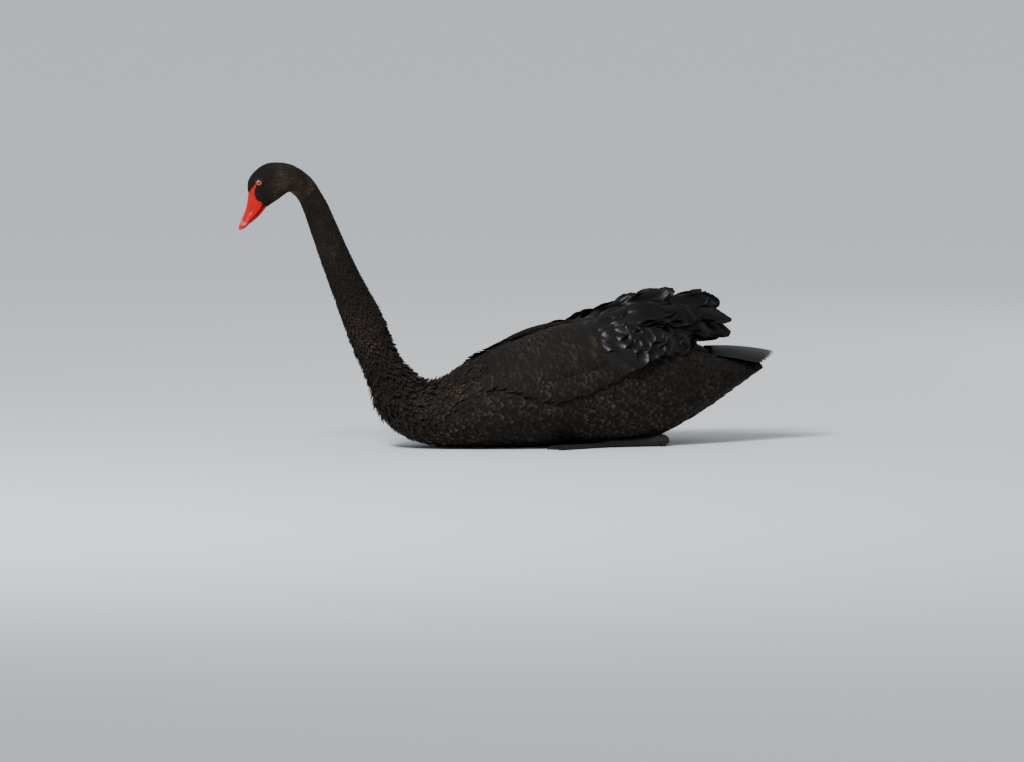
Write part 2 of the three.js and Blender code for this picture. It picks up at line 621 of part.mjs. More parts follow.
function foot(side) {
  const start = new THREE.Vector3(ANKLE.x - GAP, -side * HOCK.y, 0);
  const turns = [-TOE_SPREAD, 0, TOE_SPREAD].map(spread => THREE.MathUtils.degToRad(FOOT_TURN + spread));
  const tips = turns.map((turn, k) => new THREE.Vector3(
    start.x - TOE_LENGTHS[k] * Math.cos(turn), start.y - side * TOE_LENGTHS[k] * Math.sin(turn), 0));
  const toes = tips.map((tip, k) => {
    const length = TOE_LENGTHS[k];
    const toe = limb([
      { x: 4, z: TOE_RADIUS, radius: TOE_RADIUS + 1 },
      { x: 0.3 * length, z: TOE_RADIUS, radius: TOE_RADIUS },
      { x: 0.6 * length, z: TOE_RADIUS - 0.3, radius: TOE_RADIUS - 0.3 },
      { x: 0.92 * length, z: 3, radius: 3 },
      { x: length, z: CLAW_RADIUS, radius: CLAW_RADIUS },
    ], TOE_SIDES);
    const angle = THREE.MathUtils.radToDeg(Math.atan2(tip.y - start.y, tip.x - start.x));
    return toe.rotate([0, 0, angle]).translate([start.x, start.y, 0]);
  });
  const rim = [start, tips[0], midWeb(tips[0], tips[1]), tips[1], midWeb(tips[1], tips[2]), tips[2]];
  const outline = new THREE.Shape(rim.map(p => new THREE.Vector2(p.x, p.y)));
  const web = new THREE.ExtrudeGeometry(outline, { depth: WEB_THICK, bevelEnabled: false });
  const heel = limb([
    { x: ANKLE.x + 8, z: ANKLE.z, radius: 6 },
    { x: ANKLE.x - 8, z: 6, radius: 6 },
    { x: ANKLE.x - 20, z: 4, radius: 4 },
  ], LIMB_SIDES).translate([0, -side * HOCK.y, 0]);
  const whole = joined([solidOf(web), heel, ...toes]);
  return whole.trimByPlane([-1, 0, 0], -(ANKLE.x - GAP)).trimByPlane([0, 0, 1], 0).subtract(torsoRoom);
}

// The middle of the web's edge between two toe tips, drawn back a little
function midWeb(one, other) {
  return one.clone().add(other).multiplyScalar(0.5).add(new THREE.Vector3(WEB_HOLLOW, 0, 0));
}

const swan = new THREE.Group();
swan.name = 'black_swan';
swan.add(meshOf('head', head, NECK_DOWN));
swan.add(meshOf('bill_upper', billUpper, BILL_RED));
swan.add(meshOf('bill_lower', billLower, BILL_RED));
swan.add(meshOf('eye_left', leftEye.eye, IRIS));
swan.add(meshOf('eye_right', rightEye.eye, IRIS));
swan.add(meshOf('neck_upper', neckUpper, NECK_DOWN));
swan.add(meshOf('neck_middle', neckMiddle, NECK_DOWN));
swan.add(meshOf('neck_lower', neckLower, NECK_DOWN));
swan.add(meshOf('torso', torso, PLUMAGE));
swan.add(meshOf('wing_left', wingLeft, WING_BLACK));
swan.add(meshOf('wing_right', wingRight, WING_BLACK));
swan.add(meshOf('tail', tail().subtract(torsoRoom), PLUMAGE));
swan.add(meshOf('leg_left', leg(1), LEG_GREY));
swan.add(meshOf('leg_right', leg(-1), LEG_GREY));
swan.add(meshOf('foot_left', foot(1), LEG_GREY));
swan.add(meshOf('foot_right', foot(-1), LEG_GREY));

export default swan;
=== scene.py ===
import math

import bpy
import numpy as np
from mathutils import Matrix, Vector


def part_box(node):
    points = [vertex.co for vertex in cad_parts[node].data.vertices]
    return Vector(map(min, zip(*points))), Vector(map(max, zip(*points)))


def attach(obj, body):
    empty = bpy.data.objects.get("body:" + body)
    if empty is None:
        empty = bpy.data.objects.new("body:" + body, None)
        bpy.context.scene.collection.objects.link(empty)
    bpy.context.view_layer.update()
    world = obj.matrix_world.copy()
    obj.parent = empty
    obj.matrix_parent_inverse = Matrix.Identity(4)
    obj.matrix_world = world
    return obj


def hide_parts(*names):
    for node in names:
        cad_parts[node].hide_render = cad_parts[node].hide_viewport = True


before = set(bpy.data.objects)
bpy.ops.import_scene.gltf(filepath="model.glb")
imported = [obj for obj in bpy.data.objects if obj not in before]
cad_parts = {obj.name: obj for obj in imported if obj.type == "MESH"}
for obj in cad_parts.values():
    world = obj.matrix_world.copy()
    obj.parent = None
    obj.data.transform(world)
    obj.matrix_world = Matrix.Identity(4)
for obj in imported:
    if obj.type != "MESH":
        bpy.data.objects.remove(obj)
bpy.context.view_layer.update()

MM = 0.001

# Floor, light and view
# A plain pale floor under soft studio lamps, seen from the bird's left and a little from
# the front and above, from as far off as a long lens would stand

FLOOR_HALF = 45.0
FLOOR_PAINT = (0.70, 0.72, 0.74, 1)
FLOOR_ROUGHNESS = 0.85
AIR_COLOUR = (0.80, 0.86, 0.93, 1)
AIR_STRENGTH = 0.55
floor_mesh = bpy.data.meshes.new("studio_floor")
floor_mesh.from_pydata(
    [(-FLOOR_HALF, -FLOOR_HALF, 0), (FLOOR_HALF, -FLOOR_HALF, 0),
     (FLOOR_HALF, FLOOR_HALF, 0), (-FLOOR_HALF, FLOOR_HALF, 0)],
    [], [(0, 1, 2, 3)])
floor = bpy.data.objects.new("studio_floor", floor_mesh)
bpy.context.collection.objects.link(floor)
floor_finish = bpy.data.materials.new("floor_paint")
floor_finish.use_nodes = True
floor_shader = floor_finish.node_tree.nodes["Principled BSDF"]
floor_shader.inputs["Base Color"].default_value = FLOOR_PAINT
floor_shader.inputs["Roughness"].default_value = FLOOR_ROUGHNESS
floor_mesh.materials.append(floor_finish)

world = bpy.data.worlds.new("studio_air")
world.use_nodes = True
world.node_tree.nodes["Background"].inputs["Color"].default_value = AIR_COLOUR
world.node_tree.nodes["Background"].inputs["Strength"].default_value = AIR_STRENGTH
bpy.context.scene.world = world


def softbox(name, place, aim, size, power):
    """A square lamp of one size at a place, turned to a point."""
    lamp = bpy.data.lights.new(name, "AREA")
    lamp.size = size
    lamp.energy = power
    holder = bpy.data.objects.new(name, lamp)
    holder.location = place
    holder.rotation_euler = (Vector(aim) - Vector(place)).to_track_quat("-Z", "Y").to_euler()
    bpy.context.collection.objects.link(holder)


softbox("key_side", place=(-1.9, -1.7, 2.5), aim=(-0.1, 0, 0.15), size=0.7, power=90)
softbox("fill_rear", place=(2.2, 1.6, 1.2), aim=(0, 0, 0.15), size=1.6, power=12)

# One wide lamp, very far off, so that all of the floor has the same light
FAR_LAMP_FROM = Vector((-0.55, -0.5, 0.9))
FAR_LAMP_POWER = 1.7
FAR_LAMP_WIDTH = math.radians(22)
far_lamp = bpy.data.lights.new("far_lamp", "SUN")
far_lamp.energy = FAR_LAMP_POWER
far_lamp.angle = FAR_LAMP_WIDTH
far_holder = bpy.data.objects.new("far_lamp", far_lamp)
far_holder.rotation_euler = FAR_LAMP_FROM.to_track_quat("Z", "Y").to_euler()
bpy.context.collection.objects.link(far_holder)

VIEW_TURN = math.radians(-16)
VIEW_RISE = math.radians(4.5)
VIEW_FAR = 60.0
VIEW_AIM = Vector((-0.0824, 0.0, 0.1065))
FRAME_WIDTH = 1.69
SENSOR = 36.0
VIEW_END = 250.0
view_back = Vector((math.sin(VIEW_TURN) * math.cos(VIEW_RISE),
                    -math.cos(VIEW_TURN) * math.cos(VIEW_RISE), math.sin(VIEW_RISE)))
lens = bpy.data.cameras.new("photo_view")
lens.sensor_width = SENSOR
lens.lens = SENSOR * VIEW_FAR / FRAME_WIDTH
lens.clip_end = VIEW_END
camera = bpy.data.objects.new("photo_view", lens)
camera.location = VIEW_AIM + view_back * VIEW_FAR
camera.rotation_euler = view_back.to_track_quat("Z", "Y").to_euler()
bpy.context.collection.objects.link(camera)
bpy.context.scene.camera = camera

# Body skin
# One skin from the bill to the tail, as the bird's own: a line along the back, a line
# along the throat and belly, and a rounded oval between them at each station

# Each station: back x and z, belly x and z and half width in millimetres, and how far
# down its widest place lies in thousandths
SKIN_STATIONS = MM * np.array([
    (-533, 426, -509, 400, 15.5, 500), (-535, 437, -501, 404, 19, 500), (-532, 451, -492, 410, 22, 500),
    (-520, 465, -482, 416, 23.5, 500), (-503, 475, -474, 422, 23.5, 500), (-481, 477, -467, 426, 22, 500),
    (-460, 473, -462, 426, 20.5, 500), (-440, 462, -457, 422, 19.5, 500), (-423, 447, -451, 416, 19, 500),
    (-410, 427, -445, 406, 19, 500), (-397, 405, -438, 389, 20, 500), (-379, 366, -426, 354, 22, 500),
    (-357, 318, -408, 304, 24.5, 500), (-333, 272, -391, 258, 27.5, 500), (-307, 226, -372, 207, 30, 500),
    (-290, 182, -354, 164, 32, 500), (-270, 144, -338, 128, 35, 500), (-247, 122, -325, 98, 40, 500),
    (-227, 110, -312, 60, 50, 500), (-197, 116, -275, 22, 68, 500), (-165, 134, -220, 1, 88, 520),
    (-120, 158, -158, -6, 108, 540), (-69, 179, -86, -9, 122, 550), (-17, 192, -17, -9, 129, 550),
    (52, 202, 52, -8, 131, 550), (120, 200, 112, -5, 124, 550), (180, 184, 172, 13, 108, 550),
    (240, 158, 237, 47, 84, 550), (290, 146, 288, 79, 60, 500), (326, 136, 321, 102, 42, 500),
    (345, 130, 338, 114, 28, 500)])
SKIN_LAST = len(SKIN_STATIONS) - 1
SKIN_POWER = 2.2
FLAT_LIFT = 0.6 * MM
SKIN_LIFT = 0.4 * MM


def through(table, s):
    """A smooth curve through the rows of a table at row number s, straight past its ends:
    the cubic that leaves each row along half the difference of its two neighbours."""
    last = len(table) - 1
    inside = np.clip(s, 0, last)
    k = np.minimum(inside.astype(int), last - 1)
    f = (inside - k)[..., None]
    padded = np.vstack([2 * table[0] - table[1], table, 2 * table[-1] - table[-2]])
    p0, p1, p2, p3 = padded[k], padded[k + 1], padded[k + 2], padded[k + 3]
    curve = 0.5 * (2 * p1 + (p2 - p0) * f + (2 * p0 - 5 * p1 + 4 * p2 - p3) * f**2
                   + (3 * p1 - p0 - 3 * p2 + p3) * f**3)
    return curve + (s - inside)[..., None] * (table[-1] - table[-2])


def rounded(value, power):
    """The signed power 2 / power of a sine or cosine, which squares an oval a little."""
    return np.sign(value) * np.abs(value) ** (2 / power)


def oval(table, power, s, angle):
    """A point of a form at station s and an angle, 0 on the back and pi on the belly:
    the widest place plus its reach up or down by the cosine and aside by the sine."""
    s, angle = np.broadcast_arrays(np.asarray(s, float), np.asarray(angle, float))
    row = through(table, s)
    share = row[..., 5]
    middle_x = row[..., 0] + (row[..., 2] - row[..., 0]) * share
    middle_z = row[..., 1] + (row[..., 3] - row[..., 1]) * share
    rise = rounded(np.cos(angle), power)
    reach_x = np.where(rise >= 0, row[..., 0], row[..., 2])
    reach_z = np.where(rise >= 0, row[..., 1], row[..., 3])
    x = middle_x + (reach_x - middle_x) * np.abs(rise)
    z = middle_z + (reach_z - middle_z) * np.abs(rise)
    y = -row[..., 4] * rounded(np.sin(angle), power)
    return np.stack([x, y, z], -1)


def unit(v):
    """Vectors scaled to length one."""
    return v / np.maximum(np.linalg.norm(v, axis=-1, keepdims=True), 1e-12)


def facing(place, s, c):
    """The outward direction of a surface: the cross product of its two small steps."""
    step = 0.01
    along = place(s + step, c) - place(s - step, c)
    around = place(s, c + step) - place(s, c - step)
    return unit(np.cross(around, along))


def bare_body(s, angle):
    """The outer line of the whole bird, feathers and all."""
    point = oval(SKIN_STATIONS, SKIN_POWER, s, angle)
    point[..., 2] = np.maximum(point[..., 2], FLAT_LIFT)
    return point


COAT_DEPTH_AT = [0, 4, 8, 14, 18, 21, 27, 30]
COAT_DEPTH = [0.9 * MM, 1.1 * MM, 1.8 * MM, 3 * MM, 4.5 * MM, 6 * MM, 6 * MM, 4 * MM]


def skin_place(s, angle, height=0.0):
    """A point at a height over the skin, which lies under the outer line by the depth
    of the coat there."""
    s, angle = np.broadcast_arrays(np.asarray(s, float), np.asarray(angle, float))
    depth = np.interp(s, COAT_DEPTH_AT, COAT_DEPTH)
    point = bare_body(s, angle) + facing(bare_body, s, angle) * (height - depth)[..., None]
    point[..., 2] = np.maximum(point[..., 2], SKIN_LIFT)
    return point


def mesh_of(name, points, loops, starts, maps=None, tones=None):
    """A mesh from corner places, the corners of each face in a row, and where each starts."""
    mesh = bpy.data.meshes.new(name)
    mesh.vertices.add(len(points))
    mesh.vertices.foreach_set("co", np.asarray(points, np.float32).ravel())
    mesh.loops.add(len(loops))
    mesh.loops.foreach_set("vertex_index", np.asarray(loops, np.int32))
    mesh.polygons.add(len(starts))
    mesh.polygons.foreach_set("loop_start", np.asarray(starts, np.int32))
    mesh.update(calc_edges=True)
    for layer, uv in (maps or {}).items():
        mesh.uv_layers.new(name=layer).data.foreach_set("uv", np.asarray(uv, np.float32)[loops].ravel())
    for layer, tone in (tones or {}).items():
        mesh.attributes.new(layer, "FLOAT", "POINT").data.foreach_set("value", np.asarray(tone, np.float32))
    mesh.polygons.foreach_set("use_smooth", np.full(len(starts), True))
    mesh.validate()
    piece = bpy.data.objects.new(name, mesh)
    bpy.context.collection.objects.link(piece)
    return piece


def tube_mesh(name, grid, maps=None, tones=None):
    """A closed form from rings of points: faces between the rings and a cap at each end."""
    rows, columns = grid.shape[:2]
    index = np.arange(rows * columns).reshape(rows, columns)
    ahead = np.roll(index, -1, axis=1)
    quads = np.stack([index[:-1], ahead[:-1], ahead[1:], index[1:]], -1).reshape(-1, 4)
    loops = np.concatenate([quads.ravel(), index[0][::-1], index[-1]])
    starts = np.concatenate([np.arange(len(quads)) * 4, [len(quads) * 4, len(quads) * 4 + columns]])
    return mesh_of(name, grid.reshape(-1, 3), loops, starts, maps, tones)


MAP_MARGIN = 0.02


def inset(share):
    """Places on a map from 0 to 1, moved in from its edges by a margin."""
    return MAP_MARGIN + (1 - 2 * MAP_MARGIN) * share


def plumage_map(s, angle):
    """The place on the unrolled skin: the angle across the sheet and the station up it."""
    across = np.mod(angle, 2 * np.pi) / (2 * np.pi)
    return inset(np.stack([across, np.clip(s, 0, SKIN_LAST) / SKIN_LAST], -1))


# Lore line: bare red skin lies in front of it, by height from the gape to the eye, and
# under a sloping line that dips in the middle of the forehead
LORE_Z = MM * np.array([398, 406, 410, 412.2, 413.5, 417.3, 424.9, 434, 438, 444])
LORE_X = MM * np.array([-509, -512.5, -514.5, -516.4, -519.8, -524.6, -527.4, -527.2, -525, -525])
LORE_TOP_Z = 426.5 * MM
LORE_TOP_X = -535.5 * MM
LORE_TOP_SLOPE = 1.75
LORE_DIP = 5.5 * MM
LORE_DIP_HALF = 10 * MM
LORE_SWELL = 0.9 * MM
LORE_SWELL_OVER = 1.5 * MM
LORE_EDGE = 1.0 * MM


def bareness(point):
    """How far inside the bare red lore a point lies, in metres, below nought outside it:
    the least of its distance to the lore line and to the line over it, dip and all."""
    behind = np.interp(point[..., 2], LORE_Z, LORE_X) - point[..., 0]
    over = LORE_TOP_Z + LORE_TOP_SLOPE * (point[..., 0] - LORE_TOP_X) - point[..., 2]
    over = over - LORE_DIP * np.clip(1 - np.abs(point[..., 1]) / LORE_DIP_HALF, 0, 1)
    return np.minimum(behind, over)


# From station, to station and number of rings, closest together on the head
SKIN_RINGS = ((0, 8, 161), (8, 20, 121), (20, SKIN_LAST, 81))
SKIN_AROUND = 96
skin_rows = np.unique(np.concatenate([np.linspace(*part) for part in SKIN_RINGS]))
skin_turns = np.linspace(0, 2 * np.pi, SKIN_AROUND, endpoint=False)
skin_s, skin_a = np.meshgrid(skin_rows, skin_turns, indexing="ij")
skin_grid = skin_place(skin_s, skin_a)
skin_bare = bareness(skin_grid)
lore_lift = np.clip(skin_bare / LORE_SWELL_OVER, 0, 1) * LORE_SWELL
skin_grid += facing(bare_body, skin_s, skin_a) * lore_lift[..., None]
body_skin = tube_mesh("body_skin", skin_grid, {"OFBake": plumage_map(skin_s, skin_a).reshape(-1, 2)},
                      {"bare": np.clip(skin_bare / LORE_EDGE + 0.5, 0, 1).ravel()})


def shader_of(name, roughness, specular):
    """A new material and its node tree, with the surface shader's steady values set."""
    finish = bpy.data.materials.new(name)
    finish.use_nodes = True
    shader = finish.node_tree.nodes["Principled BSDF"]
    shader.inputs["Roughness"].default_value = roughness
    shader.inputs["Specular IOR Level"].default_value = specular
    return finish, finish.node_tree, shader


def blended(tree, low, high, amount):
    """The colour between two others by an amount from a node or a number."""
    mix = tree.nodes.new("ShaderNodeMix")
    mix.data_type = "RGBA"
    for socket, value in ((mix.inputs["A"], low), (mix.inputs["B"], high), (mix.inputs["Factor"], amount)):
        if isinstance(value, bpy.types.NodeSocket):
            tree.links.new(value, socket)
        else:
            socket.default_value = (*value, 1) if isinstance(value, tuple) else value
    return mix.outputs["Result"]


def ramped(tree, value, start, end, low=0.0, high=1.0):
    """A value carried from one range to another in a smooth step."""
    node = tree.nodes.new("ShaderNodeMapRange")
    node.interpolation_type = "SMOOTHSTEP"
    tree.links.new(value, node.inputs["Value"])
    for socket, number in (("From Min", start), ("From Max", end), ("To Min", low), ("To Max", high)):
        node.inputs[socket].default_value = number
    return node.outputs["Result"]


def sums(tree, kind, one, other=0.0):
    """One arithmetic step on two values."""
    node = tree.nodes.new("ShaderNodeMath")
    node.operation = kind
    for socket, value in ((node.inputs[0], one), (node.inputs[1], other)):
        if isinstance(value, bpy.types.NodeSocket):
            tree.links.new(value, socket)
        else:
            socket.default_value = value
    return node.outputs[0]


def own_place(tree):
    """The place of a point on its own piece."""
    return tree.nodes.new("ShaderNodeTexCoord").outputs["Object"]


def parts_of(tree, value):
    """The X, Y and Z parts of a value of three."""
    split = tree.nodes.new("ShaderNodeSeparateXYZ")
    tree.links.new(value, split.inputs[0])
    return split.outputs


def map_parts(tree, layer):
    """The place on one of the piece's maps, in parts."""
    reader = tree.nodes.new("ShaderNodeUVMap")
    reader.uv_map = layer
    return parts_of(tree, reader.outputs["UV"])


def stored(tree, layer):
    """A number that the mesh keeps at each of its points."""
    reader = tree.nodes.new("ShaderNodeAttribute")
    reader.attribute_name = layer
    return reader.outputs["Fac"]


def grain(tree, scale, detail=4.0):
    """Noise on the piece's own place, in cells per metre."""
    noise = tree.nodes.new("ShaderNodeTexNoise")
    noise.inputs["Scale"].default_value = scale
    noise.inputs["Detail"].default_value = detail
    tree.links.new(own_place(tree), noise.inputs["Vector"])
    return noise.outputs["Fac"]


def bumped(tree, shader, height, strength, distance):
    """A bump on the surface from a height."""
    bump = tree.nodes.new("ShaderNodeBump")
    bump.inputs["Strength"].default_value = strength
    bump.inputs["Distance"].default_value = distance
    tree.links.new(height, bump.inputs["Height"])
    tree.links.new(bump.outputs["Normal"], shader.inputs["Normal"])


SKIN_BLACK = (0.010, 0.008, 0.007)
SKIN_BROWN = (0.022, 0.017, 0.013)
SKIN_ROUGHNESS = 0.8
LORE_RED = (0.42, 0.0015, 0.003)
LORE_PINK = (0.48, 0.03, 0.025)
LORE_ROUGHNESS = 0.42
skin_finish, tree, shader = shader_of("dark_skin", SKIN_ROUGHNESS, specular=0.12)
down_colour = blended(tree, SKIN_BLACK, SKIN_BROWN, grain(tree, scale=260))
lore_blots = ramped(tree, grain(tree, scale=420), start=0.5, end=0.75)
lore_colour = blended(tree, LORE_RED, LORE_PINK, lore_blots)
bare_amount = stored(tree, "bare")
tree.links.new(blended(tree, down_colour, lore_colour, bare_amount), shader.inputs["Base Color"])
tree.links.new(ramped(tree, bare_amount, 0, 1, SKIN_ROUGHNESS, LORE_ROUGHNESS), shader.inputs["Roughness"])
bumped(tree, shader, grain(tree, scale=900), strength=0.35, distance=0.4 * MM)
body_skin.data.materials.append(skin_finish)
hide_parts("head", "neck_upper", "neck_middle", "neck_lower", "torso")
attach(body_skin, "root")

# Small feathers of the coat
# Each is a thin vane arched over its quill, rooted in the skin and lying back over the
# next one, velvety on the head, ruffled on the low neck and scalloped on the body

BAKE_PATCH = 0.003
RISE_POWER = 1.4
ROOT_CLIMB = 3
LEAST_PACE = 0.1 * MM


def lay(place, s, c, length, rise, sink, slant, rows):
    """Quill lines that follow a surface: from a root at (s, c), a length along s turned by
    a slant towards c, sunk at the root and rising to the tip by a share of the length."""
    step = 1e-3
    t = np.linspace(0, 1, rows)
    s, c = s[:, None], c[:, None]
    along = np.linalg.norm(place(s + step, c) - place(s, c), axis=-1) / step
    around = np.linalg.norm(place(s, c + step) - place(s, c), axis=-1) / step
    run = length[:, None] * t
    s_t = s + run * np.cos(slant)[:, None] / np.maximum(along, LEAST_PACE)
    c_t = c + run * np.sin(slant)[:, None] / np.maximum(around, LEAST_PACE)
    lifted = (rise * length)[:, None] * t**RISE_POWER
    height = -sink[:, None] + lifted + sink[:, None] * np.minimum(1, ROOT_CLIMB * t)
    normal = facing(place, s_t, c_t)
    centre = place(s_t, c_t) + normal * height[..., None]
    return centre, normal


RUFFLE_WAVES = 13
RUFFLE_SLANT = 3
RUFFLE_SPREAD = 40.0
VANE_LIFT = 0.3 * MM


def vane_mesh(name, centre, normal, half, outline, camber, thick, columns, maps, tones,
              ruffle=0.0, curl=0.0):
    """Closed thin vanes from quill lines: each row is an arch across the quill, its height
    falling with the square of the share across and turning up towards the tip where the
    vane curls, with waves along its edges and an underside a thickness below. A vane of
    three columns is closed by a flat underside."""
    count, rows = centre.shape[:2]
    along = unit(np.gradient(centre, axis=1))
    normal = unit(normal - along * np.sum(normal * along, -1, keepdims=True))
    across = np.cross(normal, along)
    share = np.linspace(-1, 1, columns)
    reach = half[:, None] * outline
    t = np.linspace(0, 1, rows)
    arch = camber * reach[..., None] * (1 - share**2) * (1 - curl * t[None, :, None] ** 2)
    waving = RUFFLE_WAVES * t[None, :, None] + RUFFLE_SLANT * share + RUFFLE_SPREAD * tones[:, None, None]
    wave = ruffle * reach[..., None] * np.sin(waving) * share**2
    upper = (centre[:, :, None] + across[:, :, None] * (reach[..., None] * share)[..., None]
             + normal[:, :, None] * (arch + wave)[..., None])
    inner = share[1:-1][::-1]
    if columns > 3:
        lower = upper[:, :, 1:-1][:, :, ::-1] - normal[:, :, None] * thick
        ring = np.concatenate([upper, lower], 2)
        ring_share = np.concatenate([share, inner])
    else:
        ring = upper
        ring_share = share
    ring[..., 2] = np.maximum(ring[..., 2], VANE_LIFT)
    sides = ring.shape[2]
    index = np.arange(count * rows * sides).reshape(count, rows, sides)
    ahead = np.roll(index, -1, axis=2)
    quads = np.stack([index[:, :-1], index[:, 1:], ahead[:, 1:], ahead[:, :-1]], -1).reshape(-1)
    caps = np.stack([index[:, 0], index[:, -1][:, ::-1]], 1).reshape(-1)
    loops = np.concatenate([quads, caps])
    quad_count = len(quads) // 4
    starts = np.concatenate([np.arange(quad_count) * 4, len(quads) + np.arange(2 * count) * sides])
    local = np.stack(np.broadcast_arrays(0.5 + 0.5 * ring_share[None, None, :], t[None, :, None]), -1)
    local = np.broadcast_to(local, (count, rows, sides, 2))
    bake = maps[:, None, None] + (local - 0.5) * BAKE_PATCH
    tone = np.broadcast_to(tones[:, None, None], (count, rows, sides))
    piece = mesh_of(name, ring.reshape(-1, 3), loops, starts,
                    {"OFBake": bake.reshape(-1, 2), "vane": local.reshape(-1, 2)}, {"tone": tone.ravel()})
    ends = np.zeros(2 * len(piece.data.edges), np.int32)
    piece.data.edges.foreach_get("vertices", ends)
    ends = ends.reshape(-1, 2) % sides
    rim = (ends[:, 0] == ends[:, 1]) & ((ends[:, 0] == 0) | (ends[:, 0] == columns - 1))
    piece.data.attributes.new("sharp_edge", "BOOLEAN", "EDGE").data.foreach_set("value", rim)
    return piece


# Width along a small feather, from its root to its tip
LEAF = np.array([0.35, 0.62, 0.8, 0.92, 1.0, 1.0, 0.98, 0.93, 0.82, 0.6, 0.22])
LEAF_CAMBER = 0.16
LEAF_SINK = 0.6 * MM
SCATTER_WOBBLE = 0.32
SCATTER_SPOTS = 65


def scatter(rng, start, end, spacing, place, low, high):
    """Roots in staggered rows on a surface: rows a spacing apart along s, and as many in
    each row as its width holds, each moved a little at random."""
    roots = []
    s = start
    step = 0.01
    turn = np.linspace(low, high, SCATTER_SPOTS)
    while s < end:
        gap = spacing(s)
        row = place(np.full(SCATTER_SPOTS, s), turn)
        lengths = np.concatenate([[0], np.cumsum(np.linalg.norm(np.diff(row, axis=0), axis=1))])
        count = max(3, int(lengths[-1] / gap))
        stagger = 0.5 * (len(roots) % 2)
        spots = (np.arange(count) + stagger + SCATTER_WOBBLE * rng.uniform(-1, 1, count)) / count
        c = np.interp(np.mod(spots, 1) * lengths[-1], lengths, turn)
        speed = np.linalg.norm(place(np.full(SCATTER_SPOTS, s + step), turn) - row, axis=1).mean() / step
        roots.append(np.stack([s + SCATTER_WOBBLE * rng.uniform(-1, 1, count) * gap / speed, c], -1))
        s += gap / speed
    return np.concatenate(roots)


BARB_COUNT = 150.0
BARB_SLANT = -110.0


def feather_finish(name, dark, pale, pale_from, roughness, specular,
                   axis="Z", ends=(0.0, 1.0), pale_share_at=(1.0, 1.0)):
    """Feather stuff: dark web with fine barbs that slant from the quill and a paler worn
    rim, the wear differing between feathers and in patches; the pale also changes from
    one end of an axis to the other, which on the head is painted sunlit sheen."""
    finish, tree, shader = shader_of(name, roughness, specular)
    vane = map_parts(tree, "vane")
    off_quill = sums(tree, "ABSOLUTE", sums(tree, "SUBTRACT", vane["X"], 0.5))
    tip = ramped(tree, vane["Y"], pale_from, 0.98)
    side = ramped(tree, off_quill, start=0.34, end=0.5, high=0.7)
    own_wear = ramped(tree, stored(tree, "tone"), start=0.0, end=1.0, low=0.25)
    worn = sums(tree, "MULTIPLY", sums(tree, "MAXIMUM", tip, side), own_wear)
    small_patches = ramped(tree, grain(tree, scale=55), start=0.3, end=0.7, low=0.5, high=1.1)
    broad_patches = ramped(tree, grain(tree, scale=11), start=0.35, end=0.65, low=0.3, high=1.1)
    patches = sums(tree, "MULTIPLY", small_patches, broad_patches)
    # The pale also changes along an axis: on the head it is painted sunlit sheen that browns towards the
    # nape, on the body it is paler on the low flank than on the back
    along_axis = parts_of(tree, own_place(tree))[axis]
    patches = sums(tree, "MULTIPLY", patches, ramped(tree, along_axis, *ends, *pale_share_at))
    colour = blended(tree, dark, pale, sums(tree, "MULTIPLY", worn, patches))
    tree.links.new(colour, shader.inputs["Base Color"])
    barb_place = sums(tree, "ADD", sums(tree, "MULTIPLY", vane["Y"], BARB_COUNT),
                      sums(tree, "MULTIPLY", off_quill, BARB_SLANT))
    barbs = sums(tree, "SINE", barb_place)
    quill_line = ramped(tree, off_quill, start=0.0, end=0.04, low=3.0, high=0.0)
    bumped(tree, shader, sums(tree, "ADD", barbs, quill_line), strength=0.2, distance=0.1 * MM)
    return finish


FLANK_TO_BACK = (70 * MM, 165 * MM)
CHEEK_TO_NAPE = (-514 * MM, -480 * MM)
# The head's feathers grow browner from the cheek to the nape: painted sunlit sheen over their own pale tips
head_down = feather_finish("head_down", dark=(0.0075, 0.0062, 0.0052), pale=(0.115, 0.078, 0.052),
                           pale_from=0.25, roughness=0.85, specular=0.1,
                           axis="X", ends=CHEEK_TO_NAPE, pale_share_at=(0.2, 1.2))
neck_down = feather_finish("neck_down", dark=(0.009, 0.007, 0.0058), pale=(0.050, 0.035, 0.025),
                           pale_from=0.5, roughness=0.85, specular=0.1)
body_web = feather_finish("body_web", dark=(0.0085, 0.0068, 0.0056), pale=(0.062, 0.045, 0.033),
                          pale_from=0.7, roughness=0.75, specular=0.1,
                          axis="Z", ends=FLANK_TO_BACK, pale_share_at=(1.3, 0.55))


def coat(name, seed, start, end, spacing, length, half, rise, finish, rows,
         keep=None, spread=0.25, loose=0.5):
    """A joined piece of small feathers between two stations of the body. Their length and
    half width are shares of their spacing, and they stand off the skin by a share of their
    length that goes from the first rise to the second."""
    rng = np.random.default_rng(seed)
    roots = scatter(rng, start, end, spacing, skin_place, 0, 2 * np.pi)
    s, c = roots[:, 0], roots[:, 1]
    if keep is not None:
        wanted = keep(skin_place(s, c))
        s, c = s[wanted], c[wanted]
    count = len(s)
    stations = np.linspace(start, end, 9)
    gap = np.interp(s, stations, [spacing(station) for station in stations])
    long = gap * length * rng.uniform(0.85, 1.2, count)
    stand = np.interp(s, (start, end), rise) * rng.uniform(1 - loose, 1 + loose, count)
    sink = np.full(count, LEAF_SINK)
    centre, normal = lay(skin_place, s, c, long, stand, sink, rng.normal(0, spread, count), rows)
    outline = np.interp(np.linspace(0, 1, rows), np.linspace(0, 1, len(LEAF)), LEAF)
    wide = gap * half * rng.uniform(0.85, 1.15, count)
    piece = vane_mesh(name, centre, normal, wide, outline, LEAF_CAMBER, thick=0, columns=3,
                      maps=plumage_map(s, c), tones=rng.uniform(0, 1, count))
    piece.data.materials.append(finish)
    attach(piece, "root")


